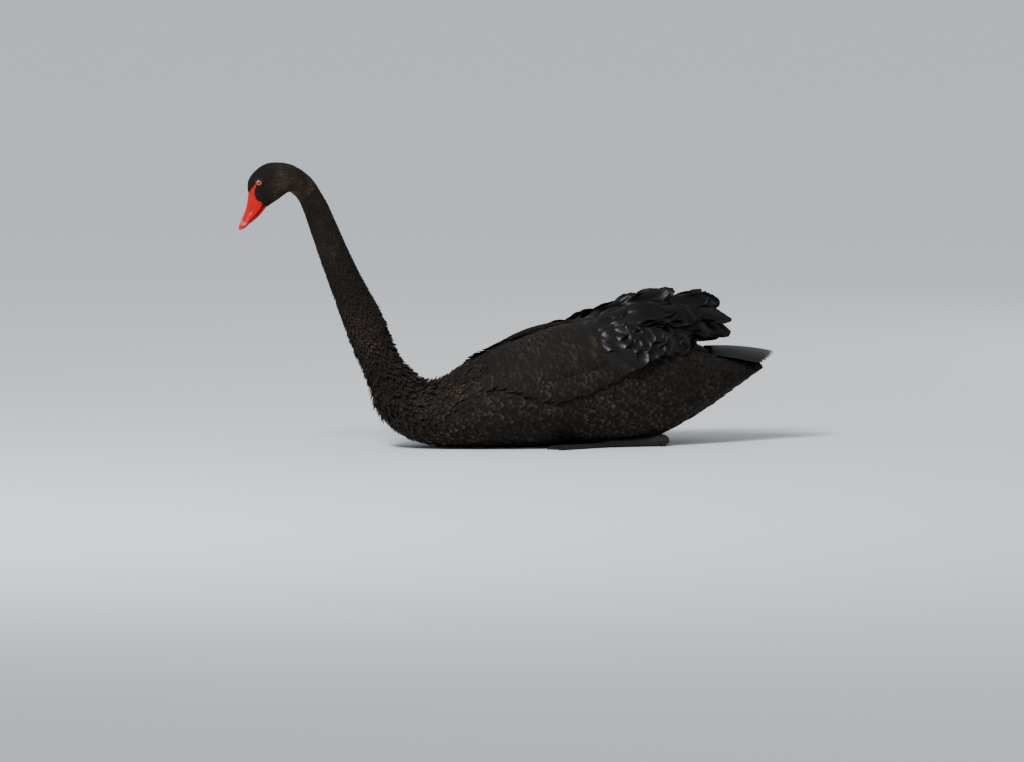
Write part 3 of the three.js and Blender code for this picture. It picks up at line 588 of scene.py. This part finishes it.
eye_places = {side: np.array(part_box("eye_" + side)).mean(0) for side in ("left", "right")}
EYE_CLEAR = 7.6 * MM
EYE_CLEAR_AHEAD = np.array([1.7 * MM, 0, 0])
LORE_CLEAR = 0.6 * MM
COAT_END_X = 326 * MM


def clear_of_face(point):
    """True where a head feather's root is off the bare lore and off the eye and its rim."""
    clear = bareness(point) < -LORE_CLEAR
    for centre in eye_places.values():
        clear &= np.linalg.norm(point - centre + EYE_CLEAR_AHEAD, axis=-1) > EYE_CLEAR
    return clear


def short_of_tail(point):
    """True where a feather's root lies far enough forward for its tip to stay on the body."""
    return point[..., 0] < COAT_END_X


coat("head_front", seed=11, start=0.03, end=4.2, spacing=lambda s: 1.35 * MM + 0.12 * MM * s,
     length=3.0, half=0.62, rise=(0.10, 0.11), finish=head_down, rows=4, keep=clear_of_face)
coat("head_rear", seed=12, start=4.2, end=8.2, spacing=lambda s: 1.9 * MM,
     length=3.0, half=0.62, rise=(0.11, 0.14), finish=head_down, rows=4)
coat("neck_top", seed=13, start=8.2, end=11.4, spacing=lambda s: 2.2 * MM,
     length=3.0, half=0.62, rise=(0.14, 0.17), finish=neck_down, rows=4)
coat("neck_fore", seed=14, start=11.4, end=14.2, spacing=lambda s: (2.3 + 0.25 * (s - 11.4)) * MM,
     length=3.2, half=0.62, rise=(0.17, 0.26), finish=neck_down, rows=5, spread=0.3, loose=0.7)
coat("neck_low", seed=15, start=14.2, end=18.2, spacing=lambda s: (3.0 + 0.4 * (s - 14.2)) * MM,
     length=3.4, half=0.66, rise=(0.26, 0.34), finish=neck_down, rows=6, spread=0.4, loose=0.9)
coat("breast", seed=16, start=18.2, end=20.6, spacing=lambda s: (4.6 + 1.1 * (s - 18.2)) * MM,
     length=3.1, half=0.72, rise=(0.30, 0.11), finish=body_web, rows=6)
coat("body_fore", seed=17, start=20.6, end=23.6, spacing=lambda s: 7.4 * MM,
     length=3.1, half=0.78, rise=(0.11, 0.1), finish=body_web, rows=6)
coat("body_hind", seed=18, start=23.6, end=27.0, spacing=lambda s: 7.8 * MM,
     length=3.2, half=0.78, rise=(0.1, 0.1), finish=body_web, rows=6)
coat("vent_coverts", seed=19, start=27.0, end=29.9, spacing=lambda s: 6.8 * MM,
     length=3.6, half=0.7, rise=(0.09, 0.08), finish=body_web, rows=6, keep=short_of_tail)

# Folded wings
# Each arm lies on the side under rows of coverts, with flank feathers along its foot;
# behind come secondaries, short curled feathers, white primaries and curled tertials

WING_FRONT = 20.9
WING_REAR = 27.0
WING_UPPER = np.array([[0.34], [0.17], [0.08], [0.06], [0.06], [0.06]])
WING_LOWER = np.array([[1.02], [1.24], [1.2], [1.03], [0.72], [0.4]])
WING_SWELL = 12.5 * MM
WING_EDGE = 0.5 * MM
WING_FULL_AT = 0.34
WING_DOME_REAR = 0.46
WING_DOME_POWER = 0.6


def wing_spot(side, along, across):
    """The station and the angle of the body under a place on the wing: the angle lies by
    the share across between the wing's upper and lower edges."""
    share = np.clip(along, 0, 1) * (len(WING_UPPER) - 1)
    upper = through(WING_UPPER, share)[..., 0]
    lower = through(WING_LOWER, share)[..., 0]
    return WING_FRONT + (WING_REAR - WING_FRONT) * along, side * (upper + (lower - upper) * across)


def wing_surface(side):
    """The wing's outer surface as a function of along, across and height: the body's outer
    line between the wing's two edges, raised by a low dome that thins to the edges."""
    def place(along, across, height=0.0):
        along, across = np.broadcast_arrays(np.asarray(along, float), np.asarray(across, float))
        s, angle = wing_spot(side, along, across)
        inside = np.clip(across, 0, 1)
        front = np.clip(along / WING_FULL_AT, 0, 1)
        rear = np.sin(np.pi * (0.5 + WING_DOME_REAR * np.clip(along, 0, 1))) ** WING_DOME_POWER
        dome = np.sin(np.pi * inside) ** WING_DOME_POWER * front**2 * (3 - 2 * front) * rear
        lift = WING_EDGE + (WING_SWELL - WING_EDGE) * dome + height
        return bare_body(s, angle) + facing(bare_body, s, angle) * lift[..., None]
    return place


covert_web = feather_finish("covert_web", dark=(0.0075, 0.0062, 0.0054), pale=(0.046, 0.034, 0.026),
                            pale_from=0.7, roughness=0.65, specular=0.12)
flight_web = feather_finish("flight_web", dark=(0.0036, 0.0031, 0.0030), pale=(0.017, 0.013, 0.011),
                            pale_from=0.88, roughness=0.38, specular=0.24)
white_web = feather_finish("white_web", dark=(0.62, 0.60, 0.56), pale=(0.50, 0.47, 0.43),
                           pale_from=0.9, roughness=0.6, specular=0.3)

# Width along a flight feather: narrow at the root, full past a third, rounded at the tip
FLIGHT_ROWS = 14
FLIGHT_SHARE = np.linspace(0, 1, FLIGHT_ROWS)
FLIGHT_OUTLINE = np.sqrt(np.clip(1 - np.clip((FLIGHT_SHARE - 0.62) / 0.385, 0, 1) ** 2.6, 0.01, 1))
FLIGHT_OUTLINE *= np.interp(FLIGHT_SHARE, [0, 0.35, 1], [0.45, 1, 1])

# Tertials by root along and across the wing, tip x, y and z and arch in millimetres, and
# turn to the side
TERTIALS = np.array([
    (0.38, 0.20, 128, 12, 246, -16, 1.2), (0.42, 0.46, 132, 66, 222, 3, 1.8),
    (0.45, 0.20, 163, 16, 243, -6, 1.2), (0.50, 0.34, 186, 28, 254, -4, 1.6),
    (0.50, 0.52, 184, 62, 222, 8, 2.2), (0.56, 0.20, 254, 22, 247, -12, 1.2),
    (0.58, 0.44, 228, 58, 208, 12, 2.4), (0.60, 0.24, 274, 30, 229, 8, 1.8),
    (0.63, 0.38, 281, 42, 206, 12, 2.4), (0.66, 0.32, 283, 46, 183, 10, 2.8),
    (0.70, 0.60, 240, 58, 180, 8, 2.6), (0.72, 0.50, 264, 48, 180, 5, 3.0),
    (0.70, 0.72, 216, 60, 172, 6, 2.4)])
TERTIAL_HALF = 16 * MM
TERTIAL_COPIES = 4
TERTIAL_JITTER = np.array([0.03, 0.06, 8, 7, 5, 4, 0.6])
TERTIAL_ROWS = 28
RIGHT_DROP = 5 * MM

# Primaries in the same columns, straight and facing up
PRIMARIES = np.array([
    (0.66, 0.85, 184, 58, 166, 0, 0), (0.68, 0.76, 192, 51, 170, 0, 0), (0.70, 0.68, 200, 44, 172, 0, 0),
    (0.71, 0.59, 208, 37, 172, 0, 0), (0.72, 0.50, 214, 30, 172, 0, 0), (0.74, 0.34, 220, 17, 172, 0, 0)])
PRIMARY_HALF = 9 * MM
REACH_SINK = 3 * MM
TIP_WOBBLE = 1.2 * MM
BOW_SKEW = 0.28
BOW_LEAN = 0.35
TURN_SPEED = 1.6


def reaching(side, table, rows, rng):
    """Quill lines from roots on the wing to tips in the air: a straight line plus an arch
    by a sine less a share of its double, with facings that turn from the wing's own."""
    place = wing_surface(side)
    root = place(table[:, 0], table[:, 1], -REACH_SINK)
    tip = MM * table[:, 2:5] * np.array([1, -side, 1]) + rng.normal(0, TIP_WOBBLE, (len(table), 3))
    tip[:, 2] -= RIGHT_DROP if side < 0 else 0
    rise = MM * table[:, 5]
    turn = table[:, 6]
    t = np.linspace(0, 1, rows)[None, :, None]
    above = unit(np.array([0, -side * BOW_LEAN, 1.0]))
    outside = unit(np.stack([np.zeros(len(table)), -side * turn, np.ones(len(table))], -1))
    bow = np.sin(np.pi * t) - BOW_SKEW * np.sin(2 * np.pi * t)
    centre = root[:, None] + (tip - root)[:, None] * t + above * rise[:, None, None] * bow
    lean = facing(bare_body, *wing_spot(side, table[:, 0], table[:, 1]))
    turned = np.minimum(1, TURN_SPEED * t)
    return centre, unit(lean[:, None] * (1 - turned) + outside[:, None] * turned)


PAD_SINK = 2.2 * MM
PAD_ROWS = 70
PAD_COLUMNS = 40
FRONT_SINK = 4 * MM
TIER_SINK = 0.5 * MM
TIER_ACROSS = 13
TIER_CAMBER = 0.12


def wing(side, node):
    """One folded wing: its pad, its tiers of coverts and its long feathers."""
    rng = np.random.default_rng(40 if side > 0 else 41)
    place = wing_surface(side)
    along, across = np.meshgrid(np.linspace(0, 1, PAD_ROWS), np.linspace(0, 1, PAD_COLUMNS), indexing="ij")
    outer = place(along, across, -PAD_SINK)
    inner = place(along, across, -PAD_SINK - WING_SWELL)
    ring = np.concatenate([outer, inner[:, ::-1]], 1)
    pad_s, pad_angle = wing_spot(side, np.concatenate([along, along], 1),
                                 np.concatenate([across, across[:, ::-1]], 1))
    pad_map = plumage_map(pad_s, pad_angle)
    if side < 0:
        ring = ring[:, ::-1]
        pad_map = pad_map[:, ::-1]
    pad = tube_mesh(node + "_arm", ring, {"OFBake": pad_map.reshape(-1, 2)},
                    {"bare": np.zeros(ring[..., 0].size)})
    pad.data.materials.append(skin_finish)
    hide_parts(node)
    pieces = [pad]

    def bake(s, c):
        """The roots' places on the unrolled skin."""
        return plumage_map(*wing_spot(side, s, c))

    def tier(label, s, c, length, half, rise, columns, rows, finish, thick,
             lean=-0.05, ruffle=0.0, curl=0.0):
        """A joined piece of vanes laid on the wing, sunk deeper at its front and foot."""
        count = len(s)
        long = length * rng.uniform(0.92, 1.08, count)
        slant = rng.normal(0, 0.06, count) + lean
        sink = np.maximum(np.interp(s, (0.0, 0.12), (FRONT_SINK, TIER_SINK)),
                          np.interp(c, (0.88, 1.02), (TIER_SINK, FRONT_SINK)))
        centre, normal = lay(place, s, c, long, np.broadcast_to(rise, count), sink, slant, rows)
        outline = np.interp(np.linspace(0, 1, rows), FLIGHT_SHARE, FLIGHT_OUTLINE)
        wide = half * rng.uniform(0.92, 1.08, count)
        piece = vane_mesh(f"{node}_{label}", centre, normal, wide, outline, TIER_CAMBER + 0.2 * ruffle,
                          thick, columns, bake(s, c), rng.uniform(0, 1, count), ruffle, curl)
        piece.data.materials.append(finish)
        pieces.append(piece)

    small = scatter(rng, -0.05, 0.46, lambda s: 8.6 * MM, place, 0.0, 1.0)
    tier("lesser", small[:, 0], small[:, 1], length=26 * MM, half=8 * MM, rise=0.08,
         columns=5, rows=8, finish=body_web, thick=0.3 * MM)
    flank = scatter(rng, -0.08, 0.7, lambda s: 7.6 * MM, place, 0.93, 1.26)
    stand = np.interp(flank[:, 1], (0.95, 1.2), (0.13, 0.05))
    tier("flank", flank[:, 0], flank[:, 1], length=24 * MM, half=6.4 * MM, rise=stand,
         columns=5, rows=8, finish=body_web, thick=0.3 * MM, lean=-0.3)

    for label, start, step, counts, length, half in (
            ("median", 0.36, 0.05, 3, 44 * MM, 11 * MM),
            ("greater", 0.50, 0.06, 2, 70 * MM, 13 * MM)):
        row = np.repeat(np.arange(counts), TIER_ACROSS)
        s = start + step * row + 0.012 * rng.uniform(-1, 1, len(row))
        c = np.tile(np.linspace(0.05, 0.95, TIER_ACROSS), counts) + 0.035 * (row % 2)
        tier(label, s, c, length, half, rise=0.06, columns=7, rows=12, finish=covert_web, thick=0.35 * MM)
    s = 0.62 + 0.03 * rng.uniform(-1, 1, TIER_ACROSS) + np.linspace(0.02, -0.06, TIER_ACROSS)
    tier("secondaries", s, np.linspace(0.06, 0.97, TIER_ACROSS), length=118 * MM, half=14 * MM, rise=0.05,
         columns=7, rows=14, finish=flight_web, thick=0.4 * MM)

    # Short feathers with curled ruffled tips lie loose over the secondaries' roots
    s, c = np.meshgrid(np.linspace(0.48, 0.74, 5), np.linspace(0.36, 0.98, 6), indexing="ij")
    stagger = 0.06 * (np.arange(5)[:, None] % 2)
    s = s + 0.03 * rng.uniform(-1, 1, s.shape)
    c = c + stagger + 0.03 * rng.uniform(-1, 1, s.shape)
    tier("curls", s.ravel(), c.ravel(), length=58 * MM, half=19 * MM, rise=0.26,
         columns=11, rows=18, finish=flight_web, thick=0.4 * MM, lean=0.0, ruffle=0.14, curl=2.8)

    centre, normal = reaching(side, PRIMARIES, FLIGHT_ROWS, rng)
    primaries = vane_mesh(node + "_primaries", centre, normal, np.full(len(PRIMARIES), PRIMARY_HALF),
                          FLIGHT_OUTLINE, camber=0.18, thick=0.4 * MM, columns=7,
                          maps=bake(PRIMARIES[:, 0], PRIMARIES[:, 1]), tones=np.full(len(PRIMARIES), 0.5))
    primaries.data.materials.append(white_web)
    pieces.append(primaries)

    # Each tertial is drawn as a few, spread at random round its place
    plumes = np.repeat(TERTIALS, TERTIAL_COPIES, 0)
    plumes = plumes + TERTIAL_JITTER * rng.uniform(-1, 1, plumes.shape)
    plumes[:, 2] -= TERTIAL_JITTER[2] * 0.5
    centre, normal = reaching(side, plumes, TERTIAL_ROWS, rng)
    outline = np.interp(np.linspace(0, 1, TERTIAL_ROWS), FLIGHT_SHARE, FLIGHT_OUTLINE)
    wide = TERTIAL_HALF * rng.uniform(0.8, 1.1, len(plumes))
    tertials = vane_mesh(node + "_tertials", centre, normal, wide, outline, camber=0.3, thick=0.5 * MM,
                         columns=11, maps=bake(plumes[:, 0], plumes[:, 1]),
                         tones=rng.uniform(0, 1, len(plumes)), ruffle=0.34, curl=3.0)
    tertials.data.materials.append(flight_web)
    pieces.append(tertials)
    for piece in pieces:
        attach(piece, "root")


wing(1, "wing_left")
wing(-1, "wing_right")

# Tail
# A short fan of stiff rounded feathers on the end of the rump, the middle ones on top

TAIL_COUNT = 16
TAIL_ROOT_X = 250 * MM
TAIL_TIP_X = 365 * MM
TAIL_ROOT_Z = 158 * MM
TAIL_TIP_Z = 147 * MM
TAIL_ROOT_HALF = 26 * MM
TAIL_TIP_HALF = 50 * MM
TAIL_CROWN = 6 * MM
TAIL_ROUNDING = 30 * MM
TAIL_VANE_HALF = 13 * MM
TAIL_LAYER = 0.5 * MM
TAIL_TIP_FALL = 1.6
TAIL_BOW = 2.5 * MM
TAIL_LEAN = 0.3
TAIL_STATION = 28.5


def tail_fan():
    """Quill lines from a root arc to a tip arc, the fall growing with the square of the
    share from the middle, the middle pair laid on top."""
    share = np.linspace(-1, 1, TAIL_COUNT)
    fall = TAIL_CROWN * share**2
    layer = -TAIL_LAYER * np.abs(np.arange(TAIL_COUNT) - (TAIL_COUNT - 1) / 2)
    root = np.stack([np.full(TAIL_COUNT, TAIL_ROOT_X), TAIL_ROOT_HALF * share,
                     TAIL_ROOT_Z - fall + layer], -1)
    tip = np.stack([TAIL_TIP_X - TAIL_ROUNDING * share**2, TAIL_TIP_HALF * share,
                    TAIL_TIP_Z - TAIL_TIP_FALL * fall + layer], -1)
    t = FLIGHT_SHARE[None, :, None]
    bow = np.sin(np.pi * t) * np.array([0, 0, TAIL_BOW])
    centre = root[:, None] + (tip - root)[:, None] * t + bow
    normal = unit(np.stack([np.zeros(TAIL_COUNT), TAIL_LEAN * share, np.ones(TAIL_COUNT)], -1))
    normal = np.broadcast_to(normal[:, None], centre.shape)
    rng = np.random.default_rng(60)
    return vane_mesh("tail_fan", centre, normal, np.full(TAIL_COUNT, TAIL_VANE_HALF), FLIGHT_OUTLINE,
                     camber=0.14, thick=0.5 * MM, columns=7,
                     maps=plumage_map(np.full(TAIL_COUNT, TAIL_STATION), 0.5 * share),
                     tones=rng.uniform(0, 1, TAIL_COUNT))


tail = tail_fan()
tail.data.materials.append(flight_web)
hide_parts("tail")
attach(tail, "root")

# Bill
# Two halves of smooth waxy horn over bone, bright red with a pale band before the nail,
# a pinker cutting edge, a slit nostril on each side and a thin line where they meet; the
# lower half is the same horn in darker reds, painted shade under the upper half

# Stations in the same columns as the skin's
UPPER_BILL = MM * np.array([
    (-531, 430, -508, 407, 15.6, 800), (-533.5, 426, -512.5, 403, 15.5, 800),
    (-535, 414, -515.5, 398, 15, 820), (-537.5, 402, -522.5, 391, 13.5, 840),
    (-541.5, 391, -530, 384, 12.8, 840), (-545.5, 381, -538, 376.5, 12.8, 800),
    (-549, 373, -544, 370.5, 10.5, 700), (-549.8, 366, -547.4, 365.5, 6, 500)])
LOWER_BILL = MM * np.array([
    (-504.5, 410.5, -501.5, 407, 9.5, 300), (-512.6, 404.4, -507.6, 399, 13, 300),
    (-523.4, 392.2, -518.8, 386.8, 13, 300), (-531.4, 385, -527.4, 380, 12, 300),
    (-539.1, 377.6, -536, 373.3, 11, 300), (-545.6, 370.2, -543.8, 366.9, 7.4, 400)])
BILL_POWER = 2.1
BILL_RINGS = 120
BILL_AROUND = 72
NOSTRIL_AT = MM * np.array([-531, 12.0, 398.5])
NOSTRIL_LEAN = unit(np.array([0.45, 0, 0.89]))
NOSTRIL_LONG = 6.0 * MM
NOSTRIL_HIGH = 1.9 * MM
NOSTRIL_DEEP = 2.2 * MM


def bill_half(name, table, start, nostrils):
    """Half of the bill as rings through its stations, with nostrils, if it has them, as
    bells pressed in that fall with the cube of the distance from their middle."""
    last = len(table) - 1
    turns = np.linspace(0, 2 * np.pi, BILL_AROUND, endpoint=False)
    s, angle = np.meshgrid(np.linspace(start, last, BILL_RINGS), turns, indexing="ij")
    grid = oval(table, BILL_POWER, s, angle)[:, ::-1]
    for side in (-1, 1) if nostrils else ():
        off = grid - NOSTRIL_AT * np.array([1, side, 1])
        long = off @ NOSTRIL_LEAN / NOSTRIL_LONG
        high = (off[..., 0] * NOSTRIL_LEAN[2] - off[..., 2] * NOSTRIL_LEAN[0]) / NOSTRIL_HIGH
        press = np.exp(-(long**2 + high**2) ** 1.5) * (grid[..., 1] * side > 0)
        grid[..., 1] -= side * NOSTRIL_DEEP * press
    horn = np.stack([angle[:, ::-1] / (2 * np.pi), s / last], -1)
    return tube_mesh(name, grid, {"OFBake": inset(horn).reshape(-1, 2), "horn": horn.reshape(-1, 2)})


# Horn colours: the deep red makes the upper half's deeper blots, and with the darkest red it is also the
# lower half's painted shade
BILL_RED = (0.46, 0.0015, 0.003)
BILL_BLOT_AND_SHADE = (0.24, 0.001, 0.003)
BILL_SHADED_BLOT = (0.10, 0.002, 0.003)
BILL_PINK = (0.52, 0.07, 0.06)
BILL_PALE = (0.60, 0.26, 0.23)
BILL_LIP = (0.60, 0.16, 0.13)
HORN_ROUGHNESS = (0.26, 0.42)


def horn_finish(name, bright, deep, lip):
    """Waxy horn: red with deeper blots, a pale band and a pinker nail by the share along
    the bill, and a pale lip by the share round it from its lower middle line."""
    finish, tree, shader = shader_of(name, HORN_ROUGHNESS[1], specular=0.16)
    horn = map_parts(tree, "horn")
    blots = ramped(tree, grain(tree, scale=180), start=0.5, end=0.8, high=0.55)
    red = blended(tree, bright, deep, blots)
    wander = sums(tree, "MULTIPLY", sums(tree, "SUBTRACT", grain(tree, scale=300), 0.5), 0.03)
    place = sums(tree, "ADD", horn["Y"], wander)
    band_start = ramped(tree, place, start=0.68, end=0.75)
    band_end = ramped(tree, place, start=0.77, end=0.86, low=1.0, high=0.0)
    band = sums(tree, "MULTIPLY", sums(tree, "MULTIPLY", band_start, band_end), 0.36)
    banded = blended(tree, red, BILL_PALE, band)
    nail = blended(tree, banded, BILL_PINK, ramped(tree, place, start=0.90, end=0.97, high=0.8))
    off_middle = sums(tree, "ABSOLUTE", sums(tree, "SUBTRACT", horn["X"], 0.5))
    edge = ramped(tree, off_middle, start=0.09, end=0.13, low=lip, high=0.0)
    tree.links.new(blended(tree, nail, BILL_LIP, edge), shader.inputs["Base Color"])
    polish = ramped(tree, grain(tree, scale=500), 0.3, 0.7, *HORN_ROUGHNESS)
    tree.links.new(polish, shader.inputs["Roughness"])
    bumped(tree, shader, grain(tree, scale=700, detail=6.0), strength=0.2, distance=0.25 * MM)
    return finish


upper_horn = horn_finish("upper_horn", BILL_RED, BILL_BLOT_AND_SHADE, lip=0.85)
# The lower half gets the horn in darker reds, as painted shade where the upper half overhangs it
shaded_lower_horn = horn_finish("shaded_lower_horn", BILL_BLOT_AND_SHADE, BILL_SHADED_BLOT, lip=0.0)
for name, table, start, nostrils, finish, node in (
        ("bill_horn_upper", UPPER_BILL, 0.8, True, upper_horn, "bill_upper"),
        ("bill_horn_lower", LOWER_BILL, 0.0, False, shaded_lower_horn, "bill_lower")):
    half = bill_half(name, table, start, nostrils)
    half.data.materials.append(finish)
    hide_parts(node)
    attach(half, "root")

# Eyes
# A round wet ball with an orange red iris round a dark pupil, and a thin pink rim of
# bare lid round it

EYE_RADIUS = 6.5 * MM
IRIS_HALF = 0.80
PUPIL_HALF = 0.3
PUPIL_EDGE = 0.05
PUPIL_BLACK = (0.004, 0.003, 0.003)
IRIS_DEEP = (0.34, 0.035, 0.014)
IRIS_BRIGHT = (0.46, 0.09, 0.04)
IRIS_RING = (0.18, 0.01, 0.008)


def eye_axes(centre):
    """The eye's outward axis, from the head's own facing beside it, and two axes across it."""
    stations = np.linspace(1, 5, 161)
    angles = np.sign(-centre[1]) * np.linspace(0.6, 2.4, 181)
    s, c = np.meshgrid(stations, angles, indexing="ij")
    near = bare_body(s, c)
    miss = np.hypot(near[..., 0] - centre[0], near[..., 2] - centre[2])
    spot = np.unravel_index(np.argmin(miss), miss.shape)
    out = facing(bare_body, s, c)[spot]
    up = unit(np.array([0, 0, 1.0]) - out * out[2])
    return out, np.cross(up, out), up


def eye_finish(name, centre, out):
    """Colours by the angle from the eye's axis: pupil, iris, then the iris's dark ring,
    which covers the rest of the ball."""
    finish, tree, shader = shader_of(name, roughness=0.12, specular=0.3)
    offset = tree.nodes.new("ShaderNodeVectorMath")
    offset.operation = "SUBTRACT"
    offset.inputs[1].default_value = tuple(centre)
    tree.links.new(own_place(tree), offset.inputs[0])
    dot = tree.nodes.new("ShaderNodeVectorMath")
    dot.operation = "DOT_PRODUCT"
    dot.inputs[1].default_value = tuple(out / EYE_RADIUS)
    tree.links.new(offset.outputs["Vector"], dot.inputs[0])
    angle = sums(tree, "ARCCOSINE", sums(tree, "MINIMUM", dot.outputs["Value"], 1.0))
    iris = blended(tree, IRIS_DEEP, IRIS_BRIGHT, grain(tree, scale=900))
    ringed = blended(tree, iris, IRIS_RING, ramped(tree, angle, IRIS_HALF * 0.8, IRIS_HALF))
    past_pupil = ramped(tree, angle, PUPIL_HALF, PUPIL_HALF + PUPIL_EDGE)
    tree.links.new(blended(tree, PUPIL_BLACK, ringed, past_pupil), shader.inputs["Base Color"])
    shader.inputs["Coat Weight"].default_value = 0.15
    shader.inputs["Coat Roughness"].default_value = 0.05
    return finish


LID_DEEP = (0.26, 0.018, 0.014)
LID_PINK = (0.36, 0.05, 0.036)
rim_finish, tree, shader = shader_of("lid_skin", roughness=0.4, specular=0.5)
tree.links.new(blended(tree, LID_DEEP, LID_PINK, grain(tree, scale=600)), shader.inputs["Base Color"])
bumped(tree, shader, grain(tree, scale=1200), strength=0.4, distance=0.2 * MM)


def ring_round(name, grid):
    """A closed ring from a grid that runs round both ways, with its own unrolled map."""
    rows, columns = grid.shape[:2]
    index = np.arange(rows * columns).reshape(rows, columns)
    ahead, aside = np.roll(index, -1, 0), np.roll(index, -1, 1)
    quads = np.stack([index, aside, np.roll(ahead, -1, 1), ahead], -1).reshape(-1, 4)
    share = np.stack(np.meshgrid(np.arange(rows) / rows, np.arange(columns) / columns, indexing="ij"), -1)
    return mesh_of(name, grid.reshape(-1, 3), quads.ravel(), np.arange(len(quads)) * 4,
                   {"OFBake": inset(share).reshape(-1, 2)}, {"bare": np.zeros(rows * columns)})


def toward(angle, one, other):
    """Directions at an angle from one axis towards another."""
    return np.cos(angle)[..., None] * one + np.sin(angle)[..., None] * other


LID_THICK = 0.5 * MM
LID_LIFT = 0.1 * MM
LID_TALL = 1.3
LID_OPENING = 0.60
LID_WIDER = 0.08
LID_LOWER = 0.05
FOLD_END = 1.25
FOLD_HIGH = 0.55 * MM
FOLD_SINK = 0.4 * MM

for side, centre in eye_places.items():
    out, forth, up = eye_axes(centre)
    turns = np.linspace(0, 2 * np.pi, 64, endpoint=False)
    tilt, turn = np.meshgrid(np.linspace(0.02, np.pi - 0.02, 48), turns, indexing="ij")
    ball = toward(tilt, out, toward(turn, forth, up))
    eye = tube_mesh("eyeball_" + side, centre + EYE_RADIUS * ball)
    eye.data.materials.append(eye_finish("iris_" + side, centre, out))
    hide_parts("eye_" + side)
    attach(eye, "root")

    # The pink rim is a thin roll along the lids' edge, round an opening longer than high
    turn, roll = np.meshgrid(turns, np.linspace(0, 2 * np.pi, 14, endpoint=False), indexing="ij")
    opening = LID_OPENING + LID_WIDER * np.abs(np.cos(turn)) ** 3 - LID_LOWER * np.abs(np.sin(turn)) ** 4
    spoke = toward(turn, forth, up)
    rim = toward(opening, out, spoke)
    tangent = toward(opening + np.pi / 2, out, spoke)
    around_rim = toward(roll, rim, LID_TALL * tangent)
    lids = ring_round("lids_" + side, centre + (EYE_RADIUS + LID_LIFT) * rim + LID_THICK * around_rim)
    lids.data.materials.append(rim_finish)

    # The dark lids run from the rim back under the head's feathers, over the ball
    turn, share = np.meshgrid(turns, np.linspace(0, 1, 12), indexing="ij")
    outer = opening[:, :1] + 0.05 + (FOLD_END - LID_OPENING) * share
    wall = np.concatenate([outer, outer[:, ::-1]], 1)
    height = FOLD_HIGH * (0.6 + 0.4 * np.sin(np.pi * share))
    height = np.concatenate([height, np.full(share.shape, -FOLD_SINK)], 1)
    direction = toward(wall, out, toward(turn[:, :1], forth, up))
    fold = centre + (EYE_RADIUS + height)[..., None] * direction
    folds = ring_round("lid_folds_" + side, fold[:, ::-1])
    folds.data.materials.append(skin_finish)
    for piece in (lids, folds):
        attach(piece, "root")

# Legs and feet
# Scaled dark grey skin over bone, the shanks laid back along the belly and the webbed
# toes forward under the flanks

SCALE_GREY = (0.010, 0.0095, 0.0095)
SCALE_WORN = (0.026, 0.023, 0.022)
SCALE_GROOVE = (0.008, 0.007, 0.007)
SCALES_A_METRE = 420
leg_finish, tree, shader = shader_of("leg_scales", roughness=0.6, specular=0.2)
scales = tree.nodes.new("ShaderNodeTexVoronoi")
scales.inputs["Scale"].default_value = SCALES_A_METRE
scales.feature = "DISTANCE_TO_EDGE"
tree.links.new(own_place(tree), scales.inputs["Vector"])
groove = ramped(tree, scales.outputs["Distance"], start=0.0, end=0.12)
worn = blended(tree, SCALE_GREY, SCALE_WORN, grain(tree, scale=120))
tree.links.new(blended(tree, SCALE_GROOVE, worn, groove), shader.inputs["Base Color"])
bumped(tree, shader, groove, strength=0.5, distance=0.3 * MM)
for node in ("leg_left", "leg_right", "foot_left", "foot_right"):
    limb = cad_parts[node]
    limb.data.materials.clear()
    limb.data.materials.append(leg_finish)
